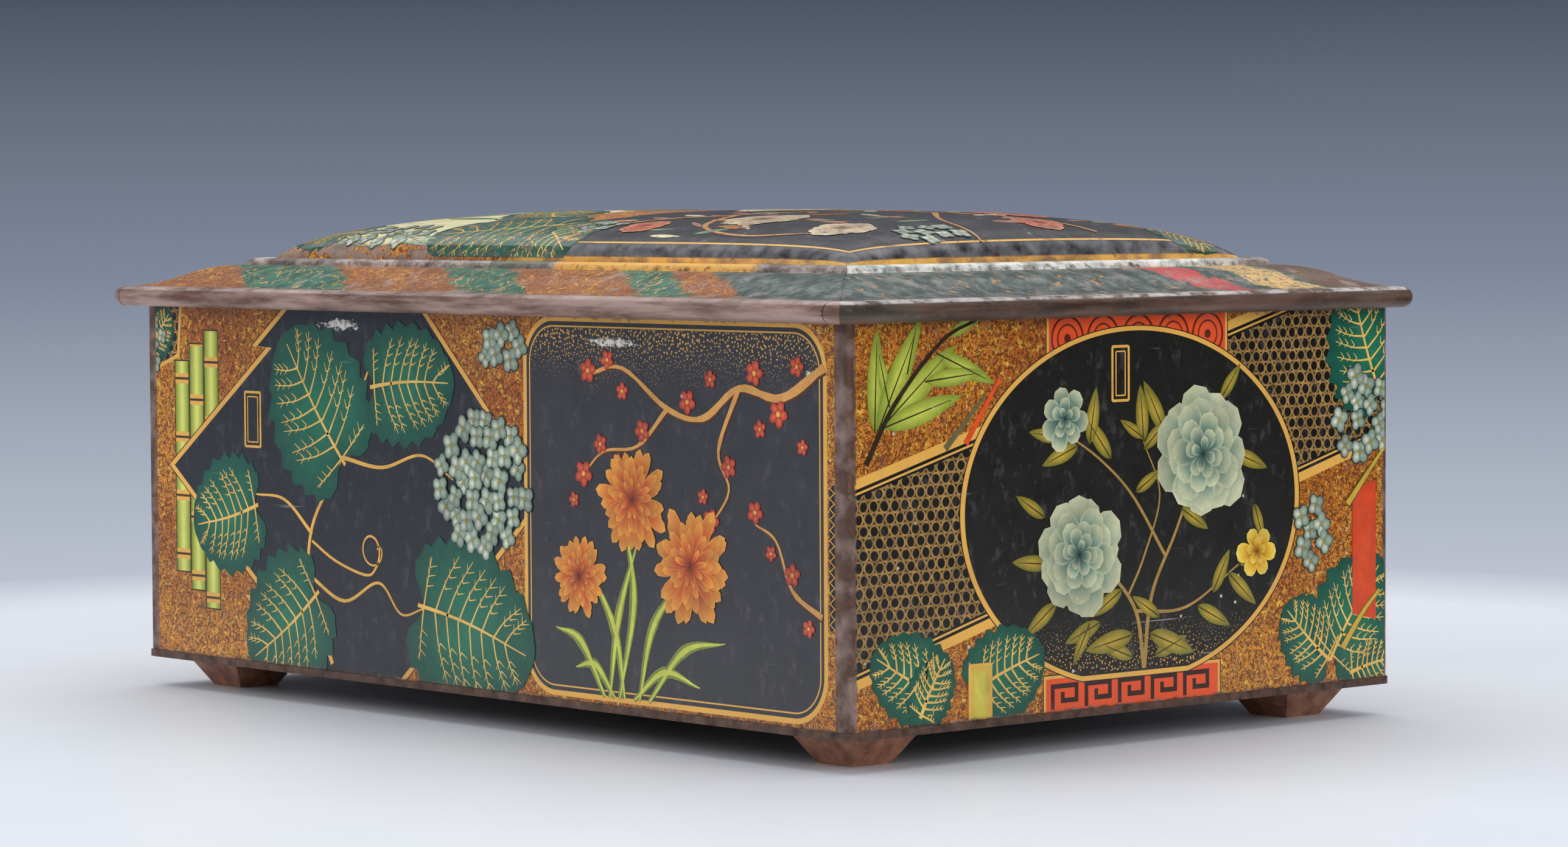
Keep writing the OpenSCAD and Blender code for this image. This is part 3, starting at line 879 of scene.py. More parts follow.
def broad_leaf(draw, at, angle, length, width, layer, seed):
    """Green leaf with gold veins."""
    outline = turned(broad_leaf_outline(length, width, seed), angle, at)
    centre = turned([(0.40 * length, 0)], angle, at)[0]
    draw.blob(centre, outline, LEAF_GREEN, LEAF_DARK, layer, rings=4)
    rng = random.Random(seed)

    def vein(points, start, end):
        path = bent(turned(points, angle, at), 4)
        draw.ribbon(path, taper(len(path), start, end), LEAF_VEIN, layer + 1)

    vein([(length * t, 0.02 * length * math.sin(4 * t)) for t in (0, 0.2, 0.4, 0.6, 0.8, 0.93)], 1.1, 0.3)
    for i in range(8):
        t = 0.05 + 0.10 * i
        for side in (-1, 1):
            end = min(0.95, t + (0.02 if i == 0 else 0.17) * rng.uniform(0.8, 1.2))
            root = (t * length, 0)
            tip = (end * length, side * 0.80 * leaf_half(end) * width)
            vein([root, ((t * 0.62 + end * 0.38) * length, tip[1] * 0.5), tip], 0.62, 0.2)
            for share in (0.42, 0.62, 0.80):
                x, y = between(root, tip, share)
                for along, out in ((0.055, 0.02), (-0.01, 0.05)):
                    if abs(y) + out * length < 0.90 * leaf_half(x / length) * width:
                        twig = [(x, y), (x + along * length, y + side * out * length)]
                        draw.ribbon(turned(twig, angle, at), [0.36, 0.14], LEAF_VEIN, layer + 1)


def slim_leaf(draw, at, angle, length, width, inner, outer, layer, rib=None):
    """Pointed narrow leaf."""
    n = 9
    side = [(length * i / n, width / 2 * math.sin(math.pi * (i / n) ** 0.8) ** 0.8) for i in range(1, n)]
    outline = turned([(0, 0), *[(x, -y) for x, y in side], (length, 0), *reversed(side)], angle, at)
    draw.blob(turned([(length * 0.45, 0)], angle, at)[0], outline, inner, outer, layer)
    if rib:
        middle = turned([(0, 0), (length * 0.5, 0), (length * 0.85, 0)], angle, at)
        draw.ribbon(middle, [0.45, 0.35, 0.15], rib, layer + 1)


# Repeated shapes, placed by a node tree


def stamp_tree():
    """Node tree that sets one stamp on every point, turned and sized by the point's own values."""
    tree = bpy.data.node_groups.new("place_stamps", "GeometryNodeTree")
    inputs = {"Geometry": "Geometry", "Stamp": "Object", "Size": "Float", "Finish": "Material"}
    for name, kind in inputs.items():
        tree.interface.new_socket(name, in_out="INPUT", socket_type=f"NodeSocket{kind}")
    tree.interface.new_socket("Geometry", in_out="OUTPUT", socket_type="NodeSocketGeometry")
    given = add_node(tree, "NodeGroupInput")
    stamp = add_node(tree, "GeometryNodeObjectInfo", {"Object": given.outputs["Stamp"]})
    turn = add_node(tree, "GeometryNodeInputNamedAttribute", {"Name": "turn"}, data_type="FLOAT")
    size = add_node(tree, "GeometryNodeInputNamedAttribute", {"Name": "size"}, data_type="FLOAT")
    spin = add_node(tree, "ShaderNodeCombineXYZ", {"Z": turn.outputs[0]})
    sizes = {0: size.outputs[0], 1: given.outputs["Size"]}
    scale = add_node(tree, "ShaderNodeMath", sizes, operation="MULTIPLY")
    flat = add_node(tree, "ShaderNodeCombineXYZ", {"X": scale.outputs[0], "Y": scale.outputs[0], "Z": 1.0})
    place = add_node(tree, "GeometryNodeInstanceOnPoints", {
        "Points": given.outputs["Geometry"], "Instance": stamp.outputs["Geometry"],
        "Rotation": spin.outputs[0], "Scale": flat.outputs[0]})
    real = add_node(tree, "GeometryNodeRealizeInstances", {0: place.outputs[0]})
    finish = add_node(tree, "GeometryNodeSetMaterial", {
        "Geometry": real.outputs[0], "Material": given.outputs["Finish"]})
    add_node(tree, "NodeGroupOutput", {0: finish.outputs[0]})
    return tree


def read_values(data, word, count):
    """Values of one attribute of a mesh, as one long row."""
    row = np.zeros(count, np.float32)
    data.foreach_get(word, row)
    return row


def stamped(draw, stamp, places):
    """Sets a small drawing at each place (along, up, layer, turn, size, shade) of a bigger one."""
    stamp_object = add_object("stamp", stamp.mesh())
    dots = bpy.data.meshes.new("places")
    points = []
    for i, (x, y, layer, *_) in enumerate(places):
        turns, step = divmod(i, STEPS_PER_LAYER)
        points.append((x, y, LAYER * layer + STEP_UP * step + STEP_UP * 0.3 * turns))
    dots.from_pydata(points, [], [])
    _, _, _, turn, size, shade = zip(*places)
    for word, values in (("turn", [math.radians(t) for t in turn]), ("size", size), ("shade", shade)):
        dots.attributes.new(word, "FLOAT", "POINT").data.foreach_set("value", values)
    host = add_object("places", dots)
    modifier = host.modifiers.new("stamps", "NODES")
    modifier.node_group = STAMPS
    sockets = {s.name: s.identifier for s in STAMPS.interface.items_tree if s.in_out == "INPUT"}
    modifier[sockets["Stamp"]] = stamp_object
    modifier[sockets["Size"]] = 1.0
    modifier[sockets["Finish"]] = INK
    result = bpy.data.meshes.new_from_object(host.evaluated_get(bpy.context.evaluated_depsgraph_get()))
    host.modifiers.remove(modifier)
    n = len(result.vertices)
    where = read_values(result.vertices, "co", n * 3).reshape(-1, 3)
    inks = read_values(result.attributes["ink"].data, "color", n * 4).reshape(-1, 4)[:, :3]
    inks = inks * read_values(result.attributes["shade"].data, "value", n)[:, None]
    draw.add([tuple(p) for p in where.tolist()], [tuple(c) for c in inks.tolist()],
             [tuple(f.vertices) for f in result.polygons])
    for thing in (host, stamp_object):
        mesh = thing.data
        bpy.data.objects.remove(thing)
        bpy.data.meshes.remove(mesh)
    bpy.data.meshes.remove(result)


def circle(centre, rx, ry, n, angle=0):
    """Ring of n points with the half widths rx and ry, turned about its centre."""
    ring = [2 * math.pi * i / n for i in range(n)]
    return turned([(rx * math.cos(a), ry * math.sin(a)) for a in ring], angle, centre)


def round_petals(stamp, inner, outer, away, size, start, layer):
    """Ring of round petals, one for each inner colour. They share the outer colour."""
    for k, colour in enumerate(inner):
        angle = 360 / len(inner) * k + start
        at = turned([(away, 0)], angle)[0]
        stamp.blob(at, circle(at, *size, 8, angle), colour, outer, layer, rings=1)


def floret_stamp():
    """Pale floret of four round petals on a dark outline."""
    stamp = Print()
    round_petals(stamp, [PALE_DARK] * 4, PALE_DARK, 1.65, (2.05, 1.8), 12, 1)
    round_petals(stamp, [PALE, PALE_LIGHT, PALE_LIGHT, PALE], (0.47, 0.54, 0.47), 1.65, (1.75, 1.5), 12, 2)
    stamp.blob((0, 0), circle((0, 0), 0.6, 0.6, 6), OLIVE, OLIVE_DARK, 3, rings=1)
    return stamp


def blossom_stamp():
    """Small red blossom of five petals."""
    stamp = Print()
    round_petals(stamp, [(0.86, 0.40, 0.24)] * 5, (0.66, 0.16, 0.08), 1.25, (1.2, 0.95), 0, 1)
    stamp.blob((0, 0), circle((0, 0), 0.5, 0.5, 6), GOLD_LINE, GOLD_LINE, 2, rings=1)
    return stamp


def petal_stamp(width, colours):
    """Petal of length 1 that starts at 0, 0 and points along X, from a dark root to a light edge."""
    stamp = Print()
    n = 7
    side = [(i / n, width / 2 * math.sin(math.pi * (i / n) ** 1.5) ** 0.6) for i in range(1, n)]
    outline = [(0, 0), *[(x, -y) for x, y in side], (0.94, 0), *reversed(side)]
    root, middle, edge = (lin(c) for c in colours)
    stamp.blob((0.25, 0), outline, colours[0], colours[2], 1, rings=4)
    for i, (x, y, _) in enumerate(stamp.points):
        away = abs(y) / (width / 2)
        t = min(1.0, max(x, away * 0.85)) ** 1.2
        stamp.inks[i] = between(root, middle, t * 2) if t < 0.5 else between(middle, edge, t * 2 - 1)
    return stamp


def rosette(draw, at, size, layer, colours, seed, rings=((11, 1.0), (9, 0.74), (7, 0.48)), width=0.62):
    """Full bloom: rings of petals, each given by its count and reach, and each above the one outside it."""
    rng = random.Random(seed)
    places = []
    for level, (count, reach) in enumerate(rings):
        for k in range(count):
            turn = 360 * k / count + rng.uniform(-9, 9) + level * 17
            share, shade = rng.uniform(0.88, 1.08), rng.uniform(0.86, 1.1)
            places.append((*at, layer + level * 1.2 + (k % 2) * 0.5, turn, size * reach * share, shade))
    stamped(draw, petal_stamp(width, colours), places)


def cluster(draw, stamp, centre, radii, gap, layer, seed, size=1.0):
    """Sets stamps close together inside an oval."""
    rng = random.Random(seed)
    kept = []
    for _ in range(900):
        r = math.sqrt(rng.random())
        a = rng.uniform(0, 2 * math.pi)
        p = (centre[0] + radii[0] * r * math.cos(a), centre[1] + radii[1] * r * math.sin(a))
        if all(math.dist(p, q) > gap for q in kept):
            kept.append(p)
    kept.sort(key=lambda p: p[1])
    places = []
    for i, p in enumerate(kept):
        turn, share, shade = rng.uniform(0, 90), rng.uniform(0.88, 1.12), rng.uniform(0.82, 1.08)
        places.append((*p, layer + (i % 3) * 0.8, turn, size * share, shade))
    stamped(draw, stamp, places)


def tendril(draw, path, width, ink, layer, steps=8):
    """Thin stem that narrows to its end."""
    line = bent(path, steps)
    draw.ribbon(line, taper(len(line), width, width * 0.45), ink, layer)


def branch(draw, path, width, layer):
    """Gold branch with a dark lower edge."""
    line = bent(path, 6)
    rng = random.Random(len(line))
    widths = [w * rng.uniform(0.8, 1.2) for w in taper(len(line), width, width * 0.35)]
    draw.ribbon([p + np.array([0.12, -0.3]) for p in line], widths, (0.35, 0.18, 0.07), layer)
    draw.ribbon(line, [w * 0.8 for w in widths], (0.84, 0.60, 0.30), layer + 1)


def frame_lines(draw, low, high, layer):
    """Bare cartouche: two gold outlines."""
    for inset, width in ((0, 0.7), (1.3, 0.35)):
        x0, y0, x1, y1 = low[0] + inset, low[1] + inset, high[0] - inset, high[1] - inset
        corners = [(x0, y0), (x1, y0), (x1, y1), (x0, y1), (x0, y0)]
        for a, b in zip(corners, corners[1:]):
            draw.ribbon([a, b], width, GOLD_LINE, layer)


def each(draw, shape, rows):
    """Draws one kind of shape many times, each time with a row of its values."""
    for row in rows:
        shape(draw, *row)


def draw_long_side():
    """Spray of broad leaves and flower heads on the lozenge, and a branch and full blooms on the panel."""
    art = Print()
    curl = []
    for k in range(14):
        angle = math.pi * (k * 0.25 - 0.5)
        r = 6.2 - 0.36 * k
        curl.append((-46 + 0.5 * k + r * math.cos(angle), 36 + r * math.sin(angle)))
    each(art, tendril, (
        ([(-62, 4), (-72, 24), (-71, 42), (-58, 60), (-50, 76), (-42, 90)], 1.5, GOLD_LINE, 3),
        ([(-71, 40), (-84, 49), (-98, 50)], 1.2, GOLD_LINE, 3),
        ([(-56, 62), (-38, 60), (-20, 64), (-6, 58)], 1.2, GOLD_LINE, 3),
        ([(-72, 28), (-56, 22), (-40, 28), (-30, 20), (-20, 22)], 1.1, GOLD_LINE, 3),
        ([(-71, 38), (-60, 33), *curl], 0.8, GOLD_LINE, 3, 4)))
    each(art, broad_leaf, (
        ((-55, 60), 130, 46, 44, 4, 3), ((-43, 82), 4, 38, 33, 5, 4), ((-97, 47), 194, 33, 33, 4, 5),
        ((-68, 24), 214, 40, 38, 4, 6), ((-22, 23), -12, 52, 45, 6, 7), ((-150, 90), 50, 15, 14, 2, 9)))
    florets = floret_stamp()
    each(art, cluster, (
        (florets, (7, 58), (19, 18), 4.6, 6, 11, 1.06),
        (florets, (15, 95), (9, 6), 4.6, 3, 13),
        (florets, (-148, 94), (4, 8), 4.4, 4, 14, 0.8)))
    frame_lines(art, (-103, 63.5), (-95.5, 79), 2)
    draw_blossom_branch(art)
    draw_orange_blooms(art)
    art.lay("long_side_inks", {"front": on_wall("front"), "back": on_wall("back")}, body="body",
            low=(-LONG_PRINT_X, PRINT_LOW), high=(LONG_PRINT_X, PRINT_TOP))


def draw_blossom_branch(art):
    """Branch with small blossoms, from the upper right of the rounded panel."""
    each(art, branch, (
        ([(144, 92), (128, 84), (112, 86), (98, 78), (84, 80), (66, 90), (52, 88)], 3.0, 2),
        ([(112, 86), (104, 70), (108, 60), (100, 50)], 1.8, 2),
        ([(84, 80), (72, 70), (58, 68), (48, 60)], 1.6, 2),
        ([(143, 30), (132, 36), (126, 48), (118, 52)], 1.8, 2)))
    blossoms = (
        (52, 89, 1.1), (60, 92, 0.9), (66, 84, 0.8), (50, 62, 1.2), (57, 70, 0.9), (64, 66, 0.7),
        (74, 74, 1.0), (92, 82, 1.1), (101, 88, 0.8), (118, 90, 1.1), (127, 80, 1.2), (134, 92, 0.9),
        (108, 66, 1.0), (101, 52, 1.1), (98, 58, 0.7), (136, 72, 0.7), (46, 55, 0.7), (120, 76, 0.8),
        (132, 40, 1.0), (118, 55, 1.0), (124, 45, 0.7), (138, 27, 0.8))
    rng = random.Random(21)
    places = [(x, y, 4, rng.uniform(0, 72), size * 1.25, rng.uniform(0.85, 1.1)) for x, y, size in blossoms]
    stamped(art, blossom_stamp(), places)


def draw_orange_blooms(art):
    """Three full blooms with long blades, at the foot of the rounded panel."""
    blades = (
        ((60, 4), (64, 26), (72, 46)), ((66, 4), (62, 22), (50, 40)), ((72, 4), (78, 24), (92, 38)),
        ((64, 4), (70, 30), (66, 52)), ((76, 4), (90, 18), (106, 21)), ((58, 4), (48, 18), (38, 21)),
        ((70, 4), (82, 12), (96, 9)), ((62, 4), (54, 12), (46, 11)))
    for path in blades:
        line = bent(path, 8)
        art.ribbon(line, taper(len(line), 1.2, 0.3, 3.4), (0.50, 0.55, 0.22), 2)
        art.ribbon([p + np.array([0.3, 0.1]) for p in line], taper(len(line), 0.5, 0.2, 1.6), CANE, 3)
    orange = ((0.40, 0.11, 0.04), (0.80, 0.34, 0.10), (0.94, 0.68, 0.26))
    many = ((19, 1.0), (16, 0.80), (13, 0.60), (9, 0.38))
    for at, size, seed in (((70, 56), 15, 31), ((93, 40), 17, 32), ((48, 35), 12, 33)):
        rosette(art, at, size, 5, orange, seed, many, 0.26)


def key_stamp():
    """One turn of a key fret, with its foot on the line below."""
    key = Print()
    half = 1.25 / 2
    ink = (0.20, 0.06, 0.03)
    turns = [(0, 0), (0, 5.2), (8.6, 5.2), (8.6, 1.4), (3.6, 1.4), (3.6, 3.0)]
    for a, b in zip(turns, turns[1:]):
        x0, y0 = min(a[0], b[0]) - half, min(a[1], b[1]) - half
        x1, y1 = max(a[0], b[0]) + half, max(a[1], b[1]) + half
        corners = [(x0, y0), (x1, y0), (x1, y1), (x0, y1)]
        key.blob(((x0 + x1) / 2, (y0 + y1) / 2), corners, ink, ink, 1, rings=1)
    return key


def draw_end():
    """Blooms on the oval medallion, key fret, leaves, flower heads and bare tags."""
    art = Print()
    draw_medallion(art)
    stamped(art, key_stamp(), [(70.6 + 12.2 * k, 3.3, 1, 0, 1.0, 1.0) for k in range(5)])
    draw_leaf_spray(art)
    draw_end_corners(art)
    art.lay("end_inks", {"right": on_wall("right"), "left": on_wall("left")}, body="body",
            low=(END_PRINT[0], PRINT_LOW), high=(END_PRINT[1], PRINT_TOP))


def draw_medallion(art):
    """Crossing stems with slim leaves, four full blooms and a bare cartouche."""
    stem = (0.66, 0.52, 0.26)
    each(art, tendril, (
        ([(104, 11), (101, 26), (92, 36), (84, 40)], 1.4, stem, 2),
        ([(104, 11), (107, 30), (116, 46), (124, 62)], 1.4, stem, 2),
        ([(101, 26), (120, 26), (140, 36)], 1.0, stem, 2),
        ([(112, 40), (100, 56), (88, 66), (74, 74)], 1.0, stem, 2),
        ([(98, 30), (104, 40), (110, 56), (104, 70)], 0.8, stem, 2)))
    leaves = (
        (92, 66, 130, 15), (80, 70, 200, 14), (84, 70, 80, 15), (74, 72, 170, 12), (101, 57, 30, 11),
        (140, 36, 20, 13), (136, 34, -40, 14), (130, 29, 60, 13), (124, 26, -25, 14), (110, 24, 150, 12),
        (96, 32, 210, 13), (100, 20, 190, 18), (106, 20, -20, 18), (146, 52, -70, 11), (138, 66, -20, 14),
        (112, 72, 120, 16), (118, 52, -30, 12), (70, 40, 175, 14), (72, 30, 215, 14), (84, 24, 240, 12),
        (133, 80, 50, 12), (68, 52, 150, 12), (104, 70, 95, 15), (104, 68, 40, 12), (108, 14, 20, 13),
        (100, 14, 160, 13), (104, 71, 150, 10), (88, 24, 200, 14))
    for x, y, angle, size in leaves:
        slim_leaf(art, (x, y), angle, size, size * 0.31, OLIVE, OLIVE_DARK, 3, (0.30, 0.26, 0.08))
    bloom = (BLOOM_DEEP, BLOOM, BLOOM_EDGE)
    yellow = ((0.50, 0.20, 0.03), (0.90, 0.68, 0.14), (0.95, 0.88, 0.40))
    full = ((11, 1.0), (10, 0.80), (8, 0.60), (6, 0.42), (4, 0.26))
    each(art, rosette, (
        ((126, 66), 19, 5, bloom, 41, full, 0.60),
        ((80, 42), 17.5, 5, bloom, 42, full, 0.60),
        ((75, 77), 9, 5, bloom, 43, ((7, 1.0), (5, 0.66), (4, 0.36))),
        ((147, 39), 8, 5, yellow, 44, ((6, 1.0), (5, 0.5)))))
    frame_lines(art, (92.5, 81), (98.5, 95), 2)


def draw_leaf_spray(art):
    """Spray of slender leaves at the upper left, with a dark stem and two short strokes."""
    spray = (
        (10, 76, 62, 32), (10, 76, 38, 34), (12, 77, 15, 28), (9, 76, 88, 26), (30, 95, -22, 22),
        (26, 88, 5, 21), (34, 99, 25, 16), (14, 82, 105, 16), (20, 90, 75, 14))
    for x, y, angle, size in spray:
        slim_leaf(art, (x, y), angle, size, size * 0.22, CANE, CANE_DARK, 2, (0.22, 0.22, 0.08))
    each(art, tendril, (
        ([(6, 68), (16, 83), (32, 98), (44, 103)], 1.6, (0.20, 0.13, 0.07), 3),
        ([(40, 72), (52, 88)], 1.8, VERMILION, 3),
        ([(33, 71), (47, 84)], 1.8, (0.42, 0.40, 0.24), 3)))


def draw_end_corners(art):
    """Leaves and a bare tag at the lower left, and leaves, flower heads and a bare tag at the right."""
    each(art, broad_leaf, (
        ((32, 9), 155, 27, 22, 3, 51), ((42, 9), 20, 27, 24, 3, 52), ((24, 4), 60, 18, 15, 4, 53)))
    yellow_tag = [(41, 1), (48.6, 1), (48.6, 16), (41, 16)]
    art.blob((44.8, 8), yellow_tag, (0.88, 0.82, 0.32), (0.80, 0.72, 0.26), 5, rings=1)
    frame_lines(art, yellow_tag[0], yellow_tag[2], 6)
    each(art, broad_leaf, (
        ((197, 78), 112, 34, 32, 4, 54), ((176, 8), 52, 34, 30, 4, 55), ((176, 8), 140, 24, 22, 4, 56),
        ((184, 4), 10, 20, 18, 4, 59)))
    florets = floret_stamp()
    cluster(art, florets, (189, 74), (11, 11), 4.6, 5, 57)
    cluster(art, florets, (169, 43), (6, 10), 4.6, 5, 58, 0.95)
    red_tag = [(185, 20), (194.5, 18), (194.5, 56), (185, 54)]
    art.blob((189.6, 37), red_tag, (0.88, 0.31, 0.13), (0.82, 0.26, 0.10), 6, rings=1)
    for path in ([(181, 11), (189, 20), (196, 26)], [(183, 50), (190, 57), (198, 65)]):
        tendril(art, path, 2.6, (0.34, 0.30, 0.10), 7)
        tendril(art, path, 1.9, OLIVE, 8)


def draw_dome():
    """Leaves, flower sprays and blooms on the dome."""
    art = Print()
    rng = random.Random(60)
    far_x = dome_run(DOME_X, DOME_FULL_X)[1][-1]
    far_y = dome_run(DOME_Y, DOME_FULL_Y)[1][-1]
    stalk = (0.40, 0.34, 0.20)
    for k in range(34):
        at = (rng.uniform(-far_x + 8, -34), rng.uniform(-far_y + 12, far_y - 16))
        pale = (0.90, 0.86, 0.64) if k % 3 else (0.50, 0.64, 0.46)
        slim_leaf(art, at, rng.uniform(-30, 40), rng.uniform(18, 32), rng.uniform(3, 5.5), pale,
                  (0.46, 0.58, 0.44), 2, stalk)
    tendril(art, [(-118, -28), (-94, -6), (-76, 24), (-60, 54)], 1.4, stalk, 3)
    each(art, broad_leaf, (
        ((-10, -56), 196, 46, 40, 3, 61), ((-14, -60), 330, 30, 34, 2, 62), ((-34, -40), 140, 40, 30, 2, 67),
        ((-96, -62), 180, 26, 24, 2, 63), ((-20, 56), 150, 40, 32, 2, 64), ((110, 52), 30, 20, 20, 2, 65)))
    florets = floret_stamp()
    cluster(art, florets, (-76, -66), (18, 8), 5.6, 3, 71, 0.9)
    each(art, branch, (
        ([(6, -70), (20, -46), (38, -34), (58, -8), (84, -4), (120, 22)], 3.4, 2),
        ([(38, -34), (52, -58), (78, -66), (104, -58)], 2.4, 2),
        ([(84, -4), (104, -20), (124, -24)], 2.0, 2)))
    strokes = ((0.88, 0.84, 0.68), (0.74, 0.50, 0.42), (0.80, 0.52, 0.22), (0.50, 0.58, 0.46))
    for k in range(70):
        at = (rng.uniform(-2, far_x - 24), rng.uniform(-far_y + 13, far_y - 24))
        ink = strokes[k % 4]
        lean = rng.uniform(-35, 35) + (90 if at[0] > far_x - 45 else 0)
        slim_leaf(art, at, lean, rng.uniform(7, 14), rng.uniform(1.6, 3.2), ink, ink, 3)
    cream = ((0.36, 0.22, 0.16), (0.76, 0.60, 0.46), (0.92, 0.88, 0.74))
    red = ((0.36, 0.08, 0.05), (0.74, 0.30, 0.18), (0.90, 0.60, 0.40))
    each(art, rosette, (
        ((24, -2), 17, 4, cream, 66), ((60, -44), 13, 4, cream, 67), ((88, 20), 13, 4, red, 68),
        ((27, -58), 8, 4, red, 72), ((100, -52), 10, 4, cream, 73), ((112, 8), 8, 4, red, 74)))
    each(art, cluster, (
        (florets, (8, -58), (9, 7), 4.8, 3, 69, 0.8),
        (florets, (44, 44), (16, 10), 4.8, 3, 70),
        (florets, (116, -36), (6, 10), 4.8, 3, 75, 0.8)))
    creases = [(1, side * at) for side in (-1, 1) for at in (50, 56, 60, 63, 66, 68.5, 71, 73, 75, 77)]
    creases += [(0, side * at) for side in (-1, 1) for at in (100, 108, 113, 116, 119, 122, 125, 127, 129)]
    art.lay("lid_inks", {"dome": on_dome}, body="lid", low=(4 - far_x, 4 - far_y),
            high=(far_x - 4, far_y - 4), creases=creases)


# Shaped pieces


def new_piece(name, points, faces, material, smooth=0):
    """Piece from points in millimetres. Edges sharper than the angle smooth stay crisp."""
    mesh = bpy.data.meshes.new(name)
    mesh.from_pydata([tuple(np.array(p, float) * MM) for p in points], [], faces)
    mesh.materials.append(material)
    if smooth:
        mesh.polygons.foreach_set("use_smooth", [True] * len(mesh.polygons))
        mesh.set_sharp_from_angle(angle=math.radians(smooth))
    return add_object(name, mesh)


def dome_shares(count, edge):
    """Places across the dome as shares of its half width, with the flange's edges first and last."""
    return [-edge, *[math.sin(math.pi * (k / count - 0.5)) for k in range(count + 1)], edge]


def dome_piece(material):
    """Raised dome panel as one smooth thin sheet."""
    us = dome_shares(170, (DOME_X + FLANGE_W) / DOME_X)
    vs = dome_shares(120, (DOME_Y + FLANGE_W) / DOME_Y)
    points, faces = [], []
    for side in (0, 1):
        for u in us:
            for v in vs:
                x, y = DOME_X * u, DOME_Y * v
                z = DOME_Z + float(dome_height(np.array(x), np.array(y)))
                if side:
                    x = x if abs(u) > 1 else (DOME_X - SHEET) * u
                    y = y if abs(v) > 1 else (DOME_Y - SHEET) * v
                    z -= SHEET
                points.append((x, y, z))
    rows, cols = len(us), len(vs)
    under = rows * cols
    for i in range(rows - 1):
        for j in range(cols - 1):
            a, b, c, d = i * cols + j, (i + 1) * cols + j, (i + 1) * cols + j + 1, i * cols + j + 1
            faces.append((a, b, c, d))
            faces.append((under + a, under + d, under + c, under + b))
    ring = [i * cols for i in range(rows - 1)] + [under - cols + j for j in range(cols - 1)]
    ring += [i * cols + cols - 1 for i in range(rows - 1, 0, -1)] + list(range(cols - 1, 0, -1))
    for a, b in zip(ring, ring[1:] + ring[:1]):
        faces.append((a, under + a, under + b, b))
    return new_piece("domed_lid_panel", points, faces, material, smooth=40)


# Scene


def dress_packed_pieces():
    """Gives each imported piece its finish, by the first words of its name."""
    finishes = {
        "front_wall": wall_material("front_print", False, False),
        "back_wall": wall_material("back_print", False, True),
        "right_end": wall_material("right_end_print", True, False),
        "left_end": wall_material("left_end_print", True, True),
        "mouth_collar": metal_material("collar_tin", TIN, (0.46, 0.41, 0.34), 0.32, 0.85),
        "base_pan": metal_material("base_tin", (0.44, 0.32, 0.26), (0.22, 0.15, 0.11), 0.42, 0.25),
        "rim_wire": metal_material("steel_wire", (0.42, 0.39, 0.36), (0.24, 0.19, 0.16), 0.38, 0.8),
        "lid_rim": rim_material(),
        "hinge_strap": metal_material("strap_tin", (0.50, 0.45, 0.40), (0.30, 0.23, 0.19), 0.36, 0.6),
        "foot": metal_material("foot_paint_worn", (0.72, 0.50, 0.38), (0.48, 0.30, 0.22), 0.40, 0.0),
    }
    for name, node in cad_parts.items():
        for kind, finish in finishes.items():
            if name.startswith(kind):
                node.data.materials.clear()
                node.data.materials.append(finish)


def make_floor():
    """Round pale floor that fades into the background."""
    n = 96
    radii = (200, 500, 1000, 2500)
    points = [(0, 0, 0)]
    for r in radii:
        points += [(x, y, 0) for x, y in circle((0, 0), r, r, n)]
    faces = []
    for i in range(n):
        j = (i + 1) % n
        faces.append((0, 1 + i, 1 + j))
        for k in range(len(radii) - 1):
            a, b = 1 + k * n, 1 + (k + 1) * n
            faces.append((a + i, b + i, b + j, a + j))
    material, place = blank_material("pale_floor")
    tree = place.tree
    x, y, _ = parts(place)
    colour = over((0.895, 0.905, 0.925), (0.935, 0.94, 0.955), noise(place, 90, 3))
    shader = add_node(tree, "ShaderNodeBsdfPrincipled", {"Base Color": colour, "Roughness": 0.42})
    clear = add_node(tree, "ShaderNodeBsdfTransparent")
    faded = ((slant_length(x, y) - 380) / 130).held()
    mix = add_node(tree, "ShaderNodeMixShader", {0: faded, 1: shader.outputs[0], 2: clear.outputs[0]})
    add_node(tree, "ShaderNodeOutputMaterial", {0: mix.outputs[0]})
    new_piece("floor", points, faces, material)


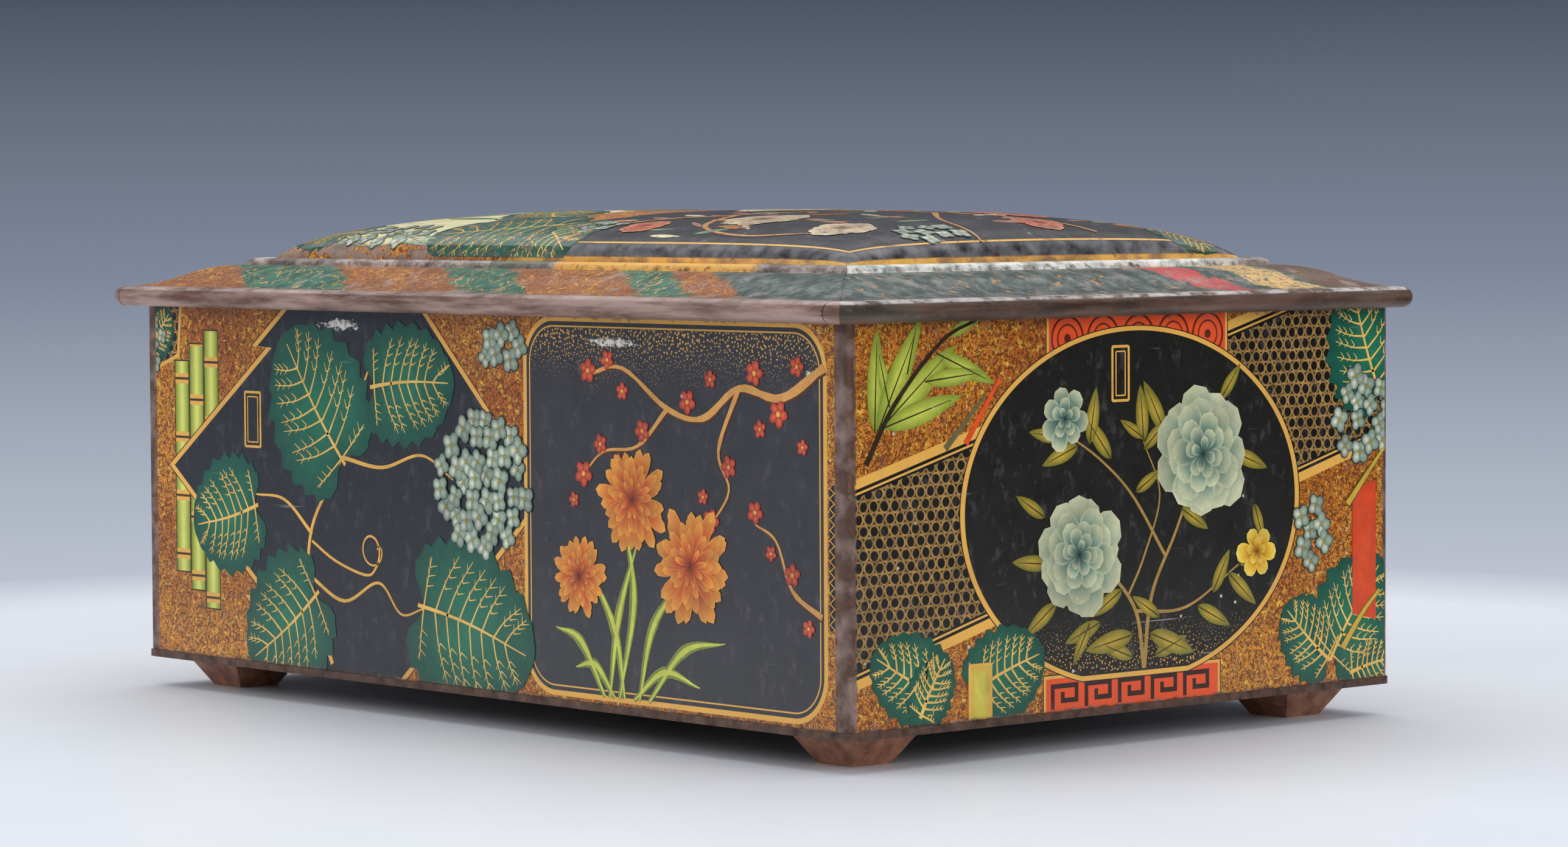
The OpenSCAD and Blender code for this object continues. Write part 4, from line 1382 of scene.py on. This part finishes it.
def make_world():
    """Soft light from all round, and a pale background for the camera and for reflections."""
    world = bpy.data.worlds.new("studio")
    bpy.context.scene.world = world
    world.use_nodes = True
    tree = world.node_tree
    tree.nodes.clear()
    x, y, up = parts(Field(tree, add_node(tree, "ShaderNodeTexCoord").outputs["Generated"]))
    ray = add_node(tree, "ShaderNodeLightPath").outputs
    glossy = Field(tree, ray["Is Glossy Ray"])
    colour = over((0.735, 0.76, 0.81), (0.505, 0.54, 0.615), ((up + 0.08) / 0.06).held())
    colour = over(colour, (0.30, 0.33, 0.39), ((up + 0.02) / 0.06).held())
    far_side = ((x + y) * 0.8 - 0.05).held()
    colour = over(colour, (0.10, 0.10, 0.10), far_side * glossy * 0.85)
    seen = add_node(tree, "ShaderNodeBackground", {"Color": colour})
    light = add_node(tree, "ShaderNodeBackground", {"Color": (0.86, 0.91, 1.0, 1), "Strength": 0.55})
    is_seen = Field(tree, ray["Is Camera Ray"]).high(glossy).high(Field(tree, ray["Is Transmission Ray"]))
    mix = add_node(tree, "ShaderNodeMixShader", {0: is_seen, 1: light.outputs[0], 2: seen.outputs[0]})
    add_node(tree, "ShaderNodeOutputWorld", {0: mix.outputs[0]})


def soft_lamp(name, at, size, watts):
    """Rectangular lamp that points at the box."""
    data = bpy.data.lights.new(name, "AREA")
    data.shape = "RECTANGLE"
    data.size, data.size_y = size
    data.energy = watts
    lamp = add_object(name, data)
    lamp.location = at
    lamp.rotation_mode = "QUATERNION"
    lamp.rotation_quaternion = (Vector(at) - Vector((0, 0, 0.06))).to_track_quat("Z", "Y")


# Camera of the photograph: its place in metres, how far it turns round, looks down and leans, and its lens
CAMERA_AT = (1.01327, -0.88167, 0.14508)
CAMERA_ROUND = 48.46
CAMERA_DOWN = 2.85
CAMERA_LEAN = -0.30
CAMERA_LENS = 109.05


def make_camera():
    data = bpy.data.cameras.new("camera")
    data.lens = CAMERA_LENS
    data.sensor_width = 36
    camera = add_object("camera", data)
    place = Matrix.Translation(CAMERA_AT)
    for degrees, axis in ((CAMERA_ROUND, "Z"), (90 - CAMERA_DOWN, "X"), (CAMERA_LEAN, "Z")):
        place = place @ Matrix.Rotation(math.radians(degrees), 4, axis)
    camera.matrix_world = place
    bpy.context.scene.camera = camera


INK = ink_material()
STAMPS = stamp_tree()
dress_packed_pieces()
dome = dome_piece(dome_material())
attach(dome, "lid")
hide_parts("lid_dome")
draw_long_side()
draw_end()
draw_dome()
make_floor()
make_world()
soft_lamp("overhead", (-0.3, 0.3, 1.5), (2.6, 2.6), 26)
soft_lamp("front_left", (-0.9, -1.5, 0.9), (1.2, 0.8), 9)
soft_lamp("right", (1.7, 0.1, 0.8), (1.0, 0.8), 8)
make_camera()
bpy.context.scene.view_settings.view_transform = "Standard"
